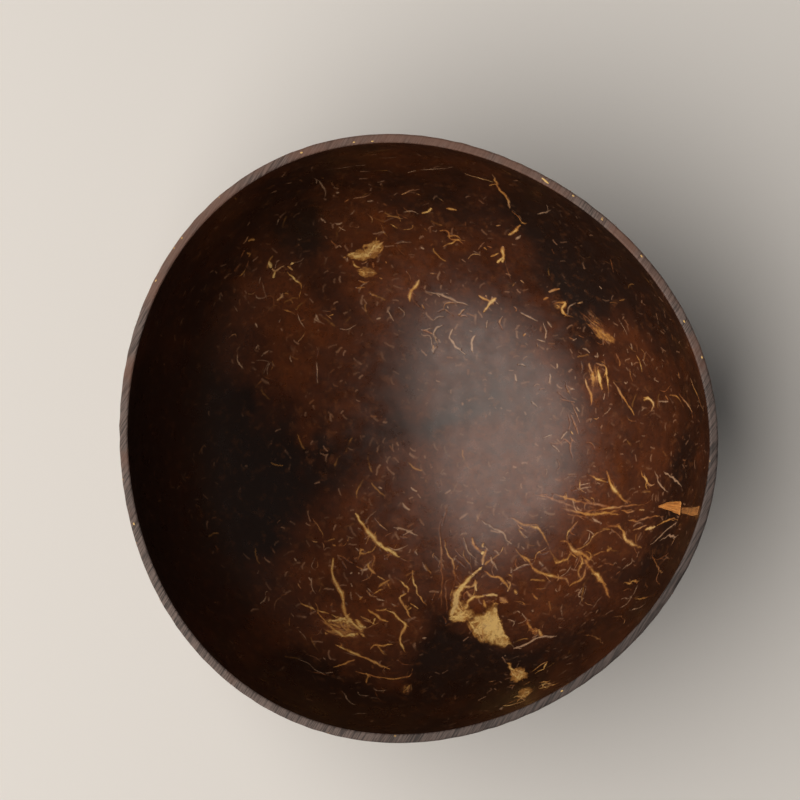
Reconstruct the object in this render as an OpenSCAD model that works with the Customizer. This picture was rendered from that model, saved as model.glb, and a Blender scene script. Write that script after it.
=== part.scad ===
// Coconut shell bowl: half a nut's hard shell, cut level, polished, and sanded flat to stand on.
// Pale fibre strands, pale patches and a chip of husk lie in the polished inner face.
// Millimetres. The origin is the middle of the foot, on the table, and +Z is up.

/* [Bowl] */
// Mean outside diameter of the cut rim
rim_d = 142; // [110:1:170]
// Height of the rim above the table
bowl_h = 64; // [48:1:84]
// Mean diameter of the flat sanded under the bowl
foot_d = 36; // [24:1:52]
// Fullness of the upright section: 2 is an ellipse, more is squarer
fullness = 2.1; // [1.8:0.05:2.6]

/* [Wall] */
// Wall at the rim, across the cut
rim_wall = 2.2; // [1.6:0.1:4]
// Wall left under the middle of the bowl after sanding
foot_wall = 2.4; // [1.6:0.1:4]
// Rounding of the two edges of the rim
rim_round = 0.5; // [0.2:0.1:0.7]

/* [Natural form] */
// How far the three lobes of the nut swell out of a true circle
lobe_swell = 1.5; // [0:0.1:3]
// Direction of the first lobe, in degrees from +X
lobe_angle = 0; // [-60:1:60]
// How far the outline is longer one way than the other, to each side
oval_swell = 0.8; // [0:0.1:2]
// Direction of the long way, in degrees from +X
oval_angle = 115; // [0:1:180]
// Height of the three seams as ridges on the outer face
seam_ridge = 0.5; // [0:0.1:1]
// Height of the three seams as low creases on the inner face
seam_crease = 0.35; // [0:0.05:0.6]
// Half width of a seam
seam_w = 5; // [3:0.5:8]

/* [Fibre] */
// Width of a fibre strand of the common kind
strand_w = 0.8; // [0.4:0.1:1]
// How far strands, patches and the husk chip stand proud of the inner face
inlay_rise = 0.25; // [0.1:0.05:0.5]
// Clearance under a strand, patch or chip
seat_gap = 0.12; // [0.12:0.02:0.3]

/* [Hidden] */

// Steps round the shell, up its outer face, round each rim edge and down its inner face
around = 96;
outer_steps = 16;
edge_steps = 3;
inner_steps = 18;

// Derived sizes of the shell
rim_r = rim_d / 2;
bore_r = rim_r - rim_wall;
foot_r = foot_d / 2;
power = 2 / fullness;
shoulder_z = bowl_h - rim_round;
foot_turn = asin(pow(foot_r / rim_r, 1 / power));
outer_depth = shoulder_z / pow(cos(foot_turn), power);
inner_depth = shoulder_z - foot_wall;

// The shell is drawn in to this share of the foot's turn, then sanded off level
sanded_share = 0.9;
start_turn = foot_turn * sanded_share;

// Angles where the three seams reach the rim, and the place where they meet, as shares of the rim
seam_angles = [6, 126, 271.5];
seam_meet_shares = [0.09, 0.07];

// A strand thins to this share of its width at its ends, and its crown is this share of its base
tip_share = 0.2;
crown_share = 0.55;
strand_steps = 4;

// Uneven edge of a pale patch, and how much the top of a patch or plate draws in
ragged_shares = [0.16, 0.1];
patch_points = 18;
inlay_top_share = 0.86;

// Strands: a width as a share of strand_w, then places that it passes on the inner face. Each place
// is an angle from +X in degrees and a distance from the axis as a share of the bore
lower_left_shares = [
    [1.1, [[233, 0.34], [241, 0.36], [254, 0.405], [259, 0.415], [265, 0.437]]],
    [1.1, [[237, 0.51], [241, 0.575], [246, 0.607], [249, 0.66], [254, 0.694]]],
    [0.6, [[236, 0.715], [241, 0.706], [248, 0.697]]],
    [0.9, [[249.5, 0.774], [259, 0.795], [265, 0.82]]],
    [0.7, [[256, 0.84], [265, 0.85], [269, 0.843], [270, 0.83]]],
    [0.8, [[266.6, 0.655], [268, 0.685], [266.6, 0.72], [268.2, 0.763]]],
    [0.6, [[255.6, 0.638], [260, 0.643], [263.4, 0.662]]],
    [0.8, [[264.7, 0.518], [269, 0.555], [266, 0.585], [268.3, 0.622]]],
    [0.6, [[270.8, 0.483], [272.3, 0.56], [275.4, 0.62]]]
];
seam_strand_shares = [
    [0.6, [[285.5, 0.38], [282, 0.507], [279.2, 0.647]]],
    [0.6, [[286.5, 0.418], [288.5, 0.48], [286.7, 0.543]]],
    [1.6, [[281.6, 0.66], [286.7, 0.595], [297, 0.544]]],
    [1.1, [[285.6, 0.652], [292.4, 0.636], [297.3, 0.65], [299.4, 0.67]]],
    [0.8, [[298.8, 0.556], [302, 0.605], [304.4, 0.72]]],
    [0.8, [[295.3, 0.84], [302.5, 0.854], [306, 0.881]]]
];
lower_right_shares = [
    [1.1, [[313, 0.55], [313.3, 0.619], [312.7, 0.655], [317.2, 0.753], [316.5, 0.775]]],
    [0.9, [[320, 0.456], [321.5, 0.509], [324, 0.563], [323.6, 0.61], [321, 0.645]]],
    [0.7, [[309.4, 0.393], [313.7, 0.486], [312.7, 0.53]]],
    [0.7, [[333.3, 0.672], [328.2, 0.658], [325.5, 0.69]]],
    [1.0, [[350.5, 0.694], [345, 0.747], [342.9, 0.798]]],
    [1.0, [[335.1, 0.756], [336.6, 0.798], [334.4, 0.84], [334.2, 0.894]]],
    [0.7, [[333.6, 0.752], [330.8, 0.735], [325.6, 0.713]]],
    [1.4, [[324.4, 0.765], [323.2, 0.83], [320.8, 0.902]]]
];
husk_strand_shares = [
    [0.9, [[336.6, 0.655], [338.4, 0.733], [341, 0.816], [343.6, 0.887]]],
    [0.6, [[339, 0.81], [340.7, 0.871], [343.3, 0.939]]],
    [0.6, [[336.8, 0.85], [339.6, 0.89], [342.8, 0.958]]],
    [1.0, [[337.4, 0.887], [338.5, 0.899], [339.6, 0.914]]],
    [0.6, [[336, 0.917], [338.4, 0.931], [342.2, 0.963]]]
];
right_shares = [
    [0.6, [[352, 0.866], [349.4, 0.883], [347.9, 0.91]]],
    [0.6, [[352.1, 0.893], [350.6, 0.935], [349.5, 0.962]]],
    [0.8, [[15.7, 0.742], [9.4, 0.768], [5.5, 0.79]]],
    [0.6, [[18.7, 0.665], [13.9, 0.655], [9.8, 0.65]]],
    [0.7, [[8.6, 0.965], [6.4, 0.973], [4.1, 0.98]]],
    [0.7, [[9.2, 0.91], [7.4, 0.929], [4.5, 0.943]]]
];
upper_shares = [
    [1.0, [[73, 0.973], [70.7, 0.938], [67.6, 0.911], [67, 0.894]]],
    [0.6, [[79, 0.952], [77.5, 0.948], [73, 0.951]]],
    [0.9, [[62.9, 0.865], [63.6, 0.838], [64.3, 0.815]]],
    [1.0, [[87, 0.568], [90.5, 0.516], [90.8, 0.48]]],
    [0.8, [[69, 0.434], [69.2, 0.4], [65, 0.372], [60.4, 0.37]]],
    [0.8, [[57.4, 0.447], [57.8, 0.42], [55.4, 0.39]]]
];

// Pale patches: angle and share of the middle, reach round in degrees, reach down as a share, and a phase
patch_shares = [
    [294, 0.92, 1.9, 0.026, 140], [293.7, 0.974, 1.7, 0.01, 60], [105.5, 0.675, 2.4, 0.019, 30],
    [100, 0.69, 2.2, 0.013, 250], [105.3, 0.605, 1.8, 0.012, 110], [63.6, 0.75, 0.8, 0.026, 10],
    [27, 0.79, 2.2, 0.018, 300], [19.6, 0.687, 1.5, 0.012, 45], [255.6, 0.72, 1.6, 0.014, 150],
    [130, 0.777, 1.3, 0.012, 70], [268, 0.89, 1.2, 0.012, 200], [60.3, 0.57, 1.3, 0.012, 20]
];

// The two plates of the large pale patch, as corners: angle from +X and share of the bore
large_patch_shares = [
    [[289.8, 0.702], [295.4, 0.696], [295.8, 0.716], [295.7, 0.772], [295.2, 0.812], [293.3, 0.822],
     [290.4, 0.803], [288.8, 0.77]],
    [[280.4, 0.684], [283, 0.676], [285.5, 0.67], [291, 0.676], [295.4, 0.686], [289.4, 0.695],
     [285.5, 0.694], [282, 0.692]]
];

// The two plates of the husk chip, as corners: angle from +X and share of the bore
chip_shares = [
    [[344.2, 0.89], [345.4, 0.9], [346.2, 0.93], [346.5, 0.96], [344.4, 0.963]],
    [[344.5, 0.967], [346, 0.965], [346.2, 0.99], [344.7, 0.991]]
];

// How far the outline at an angle lies outside the mean circle, at the rim
function swell(a) =
    lobe_swell * cos(3 * (a - lobe_angle)) + oval_swell * cos(2 * (a - oval_angle));

// Where the seams meet, and how far a place of the plan lies from the seam that ends at a rim angle
seam_meet = rim_r * seam_meet_shares;
function seam_gap(p, angle) =
    let (way = unit(rim_r * [cos(angle), sin(angle)] - seam_meet), v = p - seam_meet)
    v * way > 0 ? abs(v[0] * way[1] - v[1] * way[0]) : norm(v);

// How strongly a place lies on a seam, from 0 to 1. Seams fade out at the pole and at the rim
function on_seam(a, share) =
    let (p = share * rim_r * [cos(a), sin(a)], gaps = [for (angle = seam_angles) seam_gap(p, angle)])
    exp(-pow(min(gaps) / seam_w, 2)) * sin(180 * min(share, 1));

// A point of the shell at an angle, for a place of the upright section and a seam height
function shell_point(a, r, z, seam) =
    let (plan = r * (1 + swell(a) / rim_r) + seam * on_seam(a, r / rim_r))
    [plan * cos(a), plan * sin(a), z];

// Upright section: the outer face up from the foot, the rounded rim, and the inner face down to the pole.
// Each place is a radius, a height and the height of a seam there
outer_section = [
    for (i = [0:outer_steps]) let (t = start_turn + (90 - start_turn) * i / outer_steps)
        [rim_r * pow(sin(t), power), shoulder_z - outer_depth * pow(cos(t), power), seam_ridge]
];
rim_section = concat(
    [for (i = [1:edge_steps]) let (t = 90 * i / edge_steps)
        [rim_r - rim_round * (1 - cos(t)), shoulder_z + rim_round * sin(t), 0]],
    [for (i = [edge_steps:-1:1]) let (t = 90 * i / edge_steps)
        [bore_r + rim_round * (1 - cos(t)), shoulder_z + rim_round * sin(t), 0]]
);
inner_section = [
    for (i = [inner_steps:-1:1]) let (t = 90 * i / inner_steps)
        [bore_r * pow(sin(t), power), shoulder_z - inner_depth * pow(cos(t), power), -seam_crease]
];
section = concat(outer_section, rim_section, inner_section);

// A point of the inner face, from an angle and a share of the bore
function face_point(a, share) =
    let (t = asin(pow(min(share, 1), 1 / power)))
    shell_point(a, bore_r * share, shoulder_z - inner_depth * pow(cos(t), power), -seam_crease);

// Direction out of the inner face, into the bowl
function unit(v) = v / norm(v);
function face_normal(a, share) =
    let (step = 0.5, share_step = 0.004)
    unit(cross(face_point(a, share + share_step) - face_point(a, share - share_step),
               face_point(a + step, share) - face_point(a - step, share)));

// A point held off the inner face by a lift
function lifted(place, lift) = face_point(place[0], place[1]) + lift * face_normal(place[0], place[1]);

// A place on a smooth curve through a route's points, at span i and part t of that span
function route_place(route, i, t) =
    let (n = len(route),
         p1 = route[i],
         p2 = route[i + 1],
         p0 = i > 0 ? route[i - 1] : 2 * p1 - p2,
         p3 = i + 2 < n ? route[i + 2] : 2 * p2 - p1)
    (2 * p1 + (p2 - p0) * t + (2 * p0 - 5 * p1 + 4 * p2 - p3) * t * t
     + (3 * p1 - p0 - 3 * p2 + p3) * t * t * t) / 2;

// All the places along a route, both ends included
function route_places(route) = concat(
    [for (i = [0:len(route) - 2], k = [0:strand_steps - 1]) route_place(route, i, k / strand_steps)],
    [route[len(route) - 1]]
);

// A closed tube: rings of corners that follow each other, with flat ends
module tube(rings) {
    n = len(rings[0]);
    last = len(rings) - 1;
    points = [for (ring = rings) each ring];
    sides = [for (i = [0:last - 1], k = [0:n - 1])
        let (a = i * n + k, b = i * n + (k + 1) % n)
        each [[a, a + n, b], [b, a + n, b + n]]];
    ends = [for (k = [1:n - 2]) each [[0, k, k + 1], [last * n, last * n + k + 1, last * n + k]]];
    polyhedron(points, concat(sides, ends), convexity = 4);
}

// One strand along its route, thinner at its ends, low and flat in section
module strand(width_share, route) {
    places = route_places(route);
    last = len(places) - 1;
    rings = [for (i = [0:last])
        let (place = places[i],
             ahead = lifted(places[min(i + 1, last)], seat_gap) - lifted(places[max(i - 1, 0)], seat_gap),
             normal = face_normal(place[0], place[1]),
             side = unit(cross(normal, ahead)),
             taper = tip_share + (1 - tip_share) * sqrt(sin(180 * i / last)),
             half = strand_w * width_share * taper / 2,
             base = lifted(place, seat_gap),
             crown = lifted(place, seat_gap + inlay_rise))
        [base - half * side, base + half * side, crown + half * crown_share * side,
         crown - half * crown_share * side]];
    tube(rings);
}

// All the strands of a table
module strands(table) {
    color("#c8963f") for (row = table) strand(row[0], row[1]);
}

// A thin plate that follows the inner face inside an outline of places
module inlay(outline) {
    n = len(outline);
    middle = [for (axis = [0, 1]) [for (place = outline) place[axis]] * [for (place = outline) 1] / n];
    base = [for (place = outline) lifted(place, seat_gap)];
    top = [for (place = outline)
        lifted(middle + (place - middle) * inlay_top_share, seat_gap + inlay_rise)];
    points = concat(base, top, [lifted(middle, seat_gap), lifted(middle, seat_gap + inlay_rise)]);
    faces = [for (k = [0:n - 1]) let (next = (k + 1) % n)
        each [[k, n + k, next], [next, n + k, n + next],
              [k, next, 2 * n], [n + next, n + k, 2 * n + 1]]];
    polyhedron(points, faces, convexity = 4);
}

// Uneven outline of a pale patch
function patch_outline(p) = [for (k = [0:patch_points - 1])
    let (turn = 360 * k / patch_points,
         reach = 1 + ragged_shares[0] * sin(3 * turn + p[4]) + ragged_shares[1] * sin(5 * turn + 2 * p[4]))
    [p[0] - p[2] * reach * cos(turn), p[1] + p[3] * reach * sin(turn)]];

// Corners in the other order, for a plate listed the other way round
function reversed(plate) = [for (i = [len(plate) - 1:-1:0]) plate[i]];

// The whole shell before sanding: the section carried round the axis
module shell_blank() {
    n = around;
    rows = len(section);
    ring_points = [for (place = section, k = [0:n - 1])
        shell_point(360 * k / n, place[0], place[1], place[2])];
    outer_pole = [0, 0, section[0][1]];
    inner_pole = [0, 0, foot_wall];
    sides = [for (i = [0:rows - 2], k = [0:n - 1])
        let (a = i * n + k, b = i * n + (k + 1) % n)
        each [[a, a + n, b], [b, a + n, b + n]]];
    poles = [for (k = [0:n - 1]) let (next = (k + 1) % n)
        each [[rows * n, k, next], [rows * n + 1, (rows - 1) * n + next, (rows - 1) * n + k]]];
    polyhedron(concat(ring_points, [outer_pole, inner_pole]), concat(sides, poles), convexity = 6);
}

module shell() {
    color("#3b2316") difference() {
        shell_blank();
        translate([0, 0, -outer_depth]) cylinder(h = outer_depth, r = rim_r, $fn = around);
    }
}

module lower_left_strands() { strands(lower_left_shares); }
module seam_strands() { strands(seam_strand_shares); }
module lower_right_strands() { strands(lower_right_shares); }
module husk_strands() { strands(husk_strand_shares); }
module right_strands() { strands(right_shares); }
module upper_strands() { strands(upper_shares); }

module pale_patches() {
    color("#d8bd7c") {
        for (p = patch_shares) inlay(patch_outline(p));
        for (plate = large_patch_shares) inlay(reversed(plate));
    }
}

module husk_chip() {
    color("#b9762c") for (plate = chip_shares) inlay(reversed(plate));
}

shell();
lower_left_strands();
seam_strands();
lower_right_strands();
husk_strands();
right_strands();
upper_strands();
pale_patches();
husk_chip();
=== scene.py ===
import bpy
import numpy as np
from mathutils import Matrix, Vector


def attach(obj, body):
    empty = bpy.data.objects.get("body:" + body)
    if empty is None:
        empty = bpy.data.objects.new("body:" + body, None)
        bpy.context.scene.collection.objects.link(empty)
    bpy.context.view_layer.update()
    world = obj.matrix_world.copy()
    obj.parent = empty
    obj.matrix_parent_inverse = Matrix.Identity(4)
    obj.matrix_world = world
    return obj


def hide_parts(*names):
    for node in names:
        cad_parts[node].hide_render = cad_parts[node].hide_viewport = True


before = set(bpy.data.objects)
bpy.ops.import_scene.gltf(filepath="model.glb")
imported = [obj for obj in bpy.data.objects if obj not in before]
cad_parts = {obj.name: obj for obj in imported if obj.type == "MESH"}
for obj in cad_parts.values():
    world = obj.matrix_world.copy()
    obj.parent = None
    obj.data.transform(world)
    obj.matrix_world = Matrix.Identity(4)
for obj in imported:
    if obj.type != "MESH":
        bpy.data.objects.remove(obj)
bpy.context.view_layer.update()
mm = 0.001
print("frame loaded", sorted(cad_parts))


# node helpers

def put(socket, value):  # a socket is linked, anything else is set
    if isinstance(value, bpy.types.NodeSocket):
        socket.id_data.links.new(value, socket)
    else:
        socket.default_value = value


def addNode(tree, kind, inputs=None, **settings):  # settings first, because they choose the sockets
    node = tree.nodes.new(kind)
    for name, value in settings.items():
        setattr(node, name, value)
    for name, value in (inputs or {}).items():
        put(node.inputs[name], value)
    return node


def calc(tree, operation, a, b=0.0, clamp=False):
    return addNode(tree, "ShaderNodeMath", {0: a, 1: b}, operation=operation, use_clamp=clamp).outputs[0]


def times(tree, a, b):  # the three sums that the finishes use most
    return calc(tree, "MULTIPLY", a, b)


def plus(tree, a, b, clamp=False):
    return calc(tree, "ADD", a, b, clamp)


def minus(tree, a, b):
    return calc(tree, "SUBTRACT", a, b)


def swing(tree, value, amount):  # a value between 0 and 1, made to swing about 0
    return times(tree, minus(tree, value, 0.5), amount)


def vectorCalc(tree, operation, a, b):
    node = addNode(tree, "ShaderNodeVectorMath", {0: a}, operation=operation)
    put(node.inputs["Scale"] if operation == "SCALE" else node.inputs[1], b)
    return node.outputs["Vector"]


def partsOf(tree, vector):
    return addNode(tree, "ShaderNodeSeparateXYZ", {"Vector": vector}).outputs


def rolled(tree, vector, angle):  # turned about the upright axis
    names = {"Vector": vector, "Angle": angle}
    return addNode(tree, "ShaderNodeVectorRotate", names, rotation_type="Z_AXIS").outputs["Vector"]


def stretched(tree, place, degrees, scale):  # turned, then scaled along each axis
    return vectorCalc(tree, "MULTIPLY", rolled(tree, place, np.radians(-degrees)), scale)


def fade(tree, value, low, high, outLow=0.0, outHigh=1.0):  # smooth step from low to high
    names = {"Value": value, "From Min": low, "From Max": high, "To Min": outLow, "To Max": outHigh}
    return addNode(tree, "ShaderNodeMapRange", names, interpolation_type="SMOOTHSTEP").outputs["Result"]


def mixColour(tree, amount, a, b, blend="MIX"):
    names = {0: amount, 6: a, 7: b}
    return addNode(tree, "ShaderNodeMix", names, data_type="RGBA", blend_type=blend).outputs[2]


def noise(tree, vector, scale, detail=3.0, rough=0.55, output="Fac"):
    names = {"Vector": vector, "Scale": scale, "Detail": detail, "Roughness": rough}
    return addNode(tree, "ShaderNodeTexNoise", names).outputs[output]


def cellsOf(tree, vector, scale, **settings):  # cells round scattered spots
    names = {"Vector": vector, "Scale": scale, "Randomness": 1.0}
    return addNode(tree, "ShaderNodeTexVoronoi", names, **settings).outputs


def drawsOf(tree, cells):  # three random draws for each cell, from its colour
    return addNode(tree, "ShaderNodeSeparateColor", {"Color": cells["Color"]}).outputs


def colour(red, green, blue):
    return (red, green, blue, 1.0)


def attribute(tree, name, output="Fac"):
    return addNode(tree, "ShaderNodeAttribute", attribute_name=name).outputs[output]


def newMaterial(name):  # with its tree, its shader and the Object coordinate in millimetres
    material = bpy.data.materials.new(name)
    material.use_nodes = True
    tree = material.node_tree
    place = addNode(tree, "ShaderNodeTexCoord").outputs["Object"]
    return material, tree, tree.nodes["Principled BSDF"], vectorCalc(tree, "SCALE", place, 1000.0)


def addBump(tree, shader, height, distance, strength):
    names = {"Height": height, "Distance": distance, "Strength": strength}
    put(shader.inputs["Normal"], addNode(tree, "ShaderNodeBump", names).outputs["Normal"])


# the bowl's form, as in the solid; the polish has worn the crease shallower

bowl = {
    "rimR": 71 * mm, "height": 64 * mm, "footR": 18 * mm, "fullness": 2.1,
    "rimWall": 2.2 * mm, "footWall": 2.4 * mm, "rimRound": 0.5 * mm,
    "lobe": 1.5 * mm, "lobeAngle": 0.0, "oval": 0.8 * mm, "ovalAngle": 115.0,
    "ridge": 0.5 * mm, "crease": 0.12 * mm, "seamWidth": 5 * mm, "seamMarkAndShade": 4.2 * mm,
    "seamAngles": (6.0, 126.0, 271.5), "seamMeet": (0.09, 0.07),
}
scraping = {"depth": 0.085 * mm, "seed": 11, "count": 18, "lengths": (0.022, 0.07), "calm": 0.25}
power = 2 / bowl["fullness"]
boreR = bowl["rimR"] - bowl["rimWall"]
shoulder = bowl["height"] - bowl["rimRound"]
footTurn = np.arcsin((bowl["footR"] / bowl["rimR"]) ** (1 / power))
outerDepth = shoulder / np.cos(footTurn) ** power
innerDepth = shoulder - bowl["footWall"]
quarter = np.pi / 2


def unit(vectors):  # divided by their lengths
    return vectors / np.linalg.norm(vectors, axis=-1, keepdims=True)


def swell(angle):  # three lobes and a slight oval, as a share of the radius
    lobes = bowl["lobe"] * np.cos(3 * (angle - np.radians(bowl["lobeAngle"])))
    oval = bowl["oval"] * np.cos(2 * (angle - np.radians(bowl["ovalAngle"])))
    return (lobes + oval) / bowl["rimR"]


# bell curve over the plan distance to the nearest of three rays, faded at pole and rim
def onSeam(angle, radius, width=bowl["seamWidth"]):
    share = radius / bowl["rimR"]
    plan = np.stack([share * np.cos(angle), share * np.sin(angle)], -1)
    meet = np.array(bowl["seamMeet"])
    gaps = []
    for rimAngle in np.radians(bowl["seamAngles"]):
        way = np.array([np.cos(rimAngle), np.sin(rimAngle)]) - meet
        way /= np.linalg.norm(way)
        v = plan - meet
        beside = np.abs(v[..., 0] * way[1] - v[..., 1] * way[0])
        gaps.append(np.where(v @ way > 0, beside, np.linalg.norm(v, axis=-1)))
    nearest = np.min(gaps, axis=0) * bowl["rimR"]
    return np.exp(-(nearest / width) ** 2) * np.sin(np.pi * np.minimum(share, 1))


def ring(angle, radius, height, seam):  # a place of the upright section carried round the lobed outline
    plan = radius * (1 + swell(angle)) + seam * onSeam(angle, radius)
    return np.stack([plan * np.cos(angle), plan * np.sin(angle), height + 0 * plan], -1)


def waves(angle, along, seed, count, turns, lengths):  # sum of cosines, whole turns round and a length along
    rng = np.random.default_rng(seed)
    total = 0
    for _ in range(count):
        k, length, phase = rng.integers(*turns), rng.uniform(*lengths), rng.uniform(0, 2 * np.pi)
        total = total + np.cos(k * angle + rng.choice([-1, 1]) * 2 * np.pi * along / length + phase)
    return total / count ** 0.5


def lowWaves(x, y, seed, count, lengths):  # sum of plane cosines of seeded direction and length
    rng = np.random.default_rng(seed)
    way, size = rng.uniform(0, np.pi, count), 2 * np.pi / rng.uniform(*lengths, count)
    phase = rng.uniform(0, 2 * np.pi, count)
    each = (np.cos(size[i] * (x * np.cos(way[i]) + y * np.sin(way[i])) + phase[i]) for i in range(count))
    return sum(each) / count ** 0.5


turnTable = np.linspace(0, quarter, 600)  # arc length of the inner section against its turn
sectionR = boreR * np.sin(turnTable) ** power
sectionZ = shoulder - innerDepth * np.cos(turnTable) ** power
arcTable = np.concatenate([[0], np.cumsum(np.hypot(np.diff(sectionR), np.diff(sectionZ)))])


# inner face: superellipse section, turn 0 at the pole and a quarter turn at the rim
def plainFace(angle, turn):
    height = shoulder - innerDepth * np.cos(turn) ** power
    return ring(angle, boreR * np.sin(turn) ** power, height, -bowl["crease"])


def faceSteps(angle, turn):  # metres per radian round and outwards, by differences
    step, nearPole, nearRim = 0.003, 0.02, quarter - 0.006
    turn = np.clip(turn, nearPole, nearRim)
    around = (plainFace(angle + step, turn) - plainFace(angle - step, turn)) / (2 * step)
    out = (plainFace(angle, turn + step) - plainFace(angle, turn - step)) / (2 * step)
    return around, out


def faceNormal(angle, turn):  # into the bowl: cross product of the steps outwards and round
    around, out = faceSteps(angle, turn)
    return unit(np.cross(out, around))


def across(way, around, out):  # a step on the face as radians round and radians outwards
    return np.sum(way * around, -1) / np.sum(around ** 2, -1), np.sum(way * out, -1) / np.sum(out ** 2, -1)


def flatMap(angle, turn):  # the inner face laid flat: arc length from the pole, at its angle
    arc = np.interp(turn, turnTable, arcTable)
    return arc * np.cos(angle), arc * np.sin(angle)


def innerFace(angle, turn, lift=0.0):  # the scraped face: low waves that die out at the rim
    s = scraping
    calm = np.clip((quarter - turn) / s["calm"], 0, 1)
    low = s["depth"] * calm * lowWaves(*flatMap(angle, turn), s["seed"], s["count"], s["lengths"])
    return plainFace(angle, turn) + (low + lift)[..., None] * faceNormal(angle, turn)


def turnOf(share):  # turn at a plan distance given as a share of the bore
    return np.arcsin(np.clip(share, 0, 1) ** (1 / power))


picture = {"middle": 400.0, "perMetre": 302.4 / (71 * mm), "away": 900 * mm, "at": (-2.935 * mm, 9.11 * mm)}


# places read off a crop of the photograph, carried down the camera's ray to the inner face by a few rounds
def seen(places, crop, most=0.992):
    corner, step = crop
    off = np.array(corner) + step * np.array(places, float) - picture["middle"]
    height = 0.03  # the first guess
    for _ in range(8):
        scale = picture["perMetre"] * picture["away"] / (picture["away"] + bowl["height"] - height)
        x, y = off[:, 0] / scale + picture["at"][0], picture["at"][1] - off[:, 1] / scale
        angle = np.unwrap(np.arctan2(y, x))
        share = np.minimum(np.hypot(x, y) / (boreR * (1 + swell(angle))), most)
        height = shoulder - innerDepth * np.cos(turnOf(share)) ** power
    return np.stack([np.degrees(angle), share], -1)


plainRichness = 0.36
richAndShadedRegions = [  # angle, share, reach in metres, and how much warmer and fuller of fibre the shell is there; negative ones darken it, as painted shade on the far left wall and along the seams
    (305, .56, .034, 0.52), (252, .58, .034, 0.85), (262, .76, .020, 0.35), (335, .76, .024, 0.32),
    (20, .70, .026, 0.42), (75, .62, .028, 0.34), (106, .62, .018, 0.40), (138, .62, .022, 0.85),
    # painted shade: most negative entries below darken the far left wall and narrow rows along the seams near
    # 118° and 280°, where shade falls
    (281, .80, .016, -0.70), (284, .92, .018, -0.75), (254, .95, .022, -0.45), (325, .95, .018, -0.60),
    (205, .86, .040, -0.80), (150, .88, .026, -0.35), (45, .90, .020, -0.25), (52, .70, .026, -0.26),
    (240, .97, .020, -0.50), (85, .93, .022, -0.25), (114, .95, .006, -0.45), (115.5, .85, .0055, -0.60),
    (117, .75, .0055, -0.60), (119, .63, .0055, -0.60), (121, .50, .006, -0.40), (280, .60, .005, -0.35),
    (279, .67, .005, -0.50), (278, .75, .006, -0.45),
]


def richnessAndShade(points):  # bell curves over the distance to each region's centre
    total = np.full(points.shape[:-1], plainRichness)
    for angle, share, reach, amount in richAndShadedRegions:
        centre = plainFace(np.radians(np.array([angle])), turnOf(np.array([share])))[0]
        total = total + amount * np.exp(-(np.linalg.norm(points - centre, axis=-1) / reach) ** 2)
    return np.clip(total, 0, 1)


# what the finish reads at each point: richness with painted shade, nearness to a seam, and the face laid flat
# in millimetres
def markings(points):
    angle, radius = np.arctan2(points[:, 1], points[:, 0]), np.hypot(points[:, 0], points[:, 1])
    radius = radius / (1 + swell(angle))
    x, y = flatMap(angle, turnOf(radius / boreR))
    return {"richAndShade": richnessAndShade(points), "seam": onSeam(angle, radius, bowl["seamMarkAndShade"]),
            "flat": np.stack([x / mm, y / mm, 0 * x], -1)}


# mesh helpers

def makeMesh(name, points, faces, attributes=None, smooth=None):  # smooth: a flag for each face
    mesh = bpy.data.meshes.new(name)
    mesh.from_pydata(points.tolist(), [], faces)
    for key, values in (attributes or {}).items():
        kind, part = ("FLOAT_VECTOR", "vector") if values.ndim == 2 else ("FLOAT", "value")
        layer = mesh.attributes.new(key, kind, "POINT")
        layer.data.foreach_set(part, values.astype(np.float32).ravel())
    mesh.polygons.foreach_set("use_smooth", np.ones(len(mesh.polygons), bool) if smooth is None else smooth)
    piece = bpy.data.objects.new(name, mesh)
    bpy.context.scene.collection.objects.link(piece)
    return piece


def gridFaces(rows, columns, start=0, flip=False):  # quads of a grid that closes round its columns
    i, k = np.meshgrid(np.arange(rows - 1), np.arange(columns), indexing="ij")
    n = (k + 1) % columns
    quads = np.stack([i * columns + k, i * columns + n, (i + 1) * columns + n, (i + 1) * columns + k], -1)
    return (quads.reshape(-1, 4)[:, ::-1 if flip else 1] + start).tolist()


def tubeFaces(rows, columns, start=0):  # a grid closed round its columns, with a face on each end
    ends = np.arange(columns) + start
    caps = [ends.tolist(), (ends[::-1] + (rows - 1) * columns).tolist()]
    return gridFaces(rows, columns, start, flip=True) + caps


def fanFaces(tip, first, count, flip=False):  # triangles from a tip to a ring of points
    here, after = np.arange(count) + first, np.roll(np.arange(count), -1) + first
    return np.stack([np.full(count, tip), *((after, here) if flip else (here, after))], -1).tolist()


# finishes

shellLook = {
    "deep": colour(0.0115, 0.0041, 0.0019), "brown": colour(0.062, 0.0155, 0.0042),
    "warm": colour(0.112, 0.0275, 0.0062), "rust": colour(0.185, 0.062, 0.019),
    "ginger": colour(0.265, 0.088, 0.028), "gold": colour(0.46, 0.208, 0.048),
    "pale": colour(0.73, 0.480, 0.168), "fleck": colour(0.30, 0.155, 0.085),
    "dust": colour(0.42, 0.255, 0.152), "roughness": 0.31, "specular": 0.52,
    "dashes": [  # cell in millimetres, half length and half width as shares, how many, how strong, two tints
        (1.5, 0.12, 0.220, 0.34, 0.42, "rust", "fleck"), (2.7, 0.26, 0.175, 0.48, 0.68, "fleck", "fleck"),
        (3.9, 0.28, 0.140, 0.48, 0.76, "rust", "fleck"), (6.1, 0.33, 0.080, 0.38, 0.74, "rust", "gold"),
    ],
}


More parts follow.
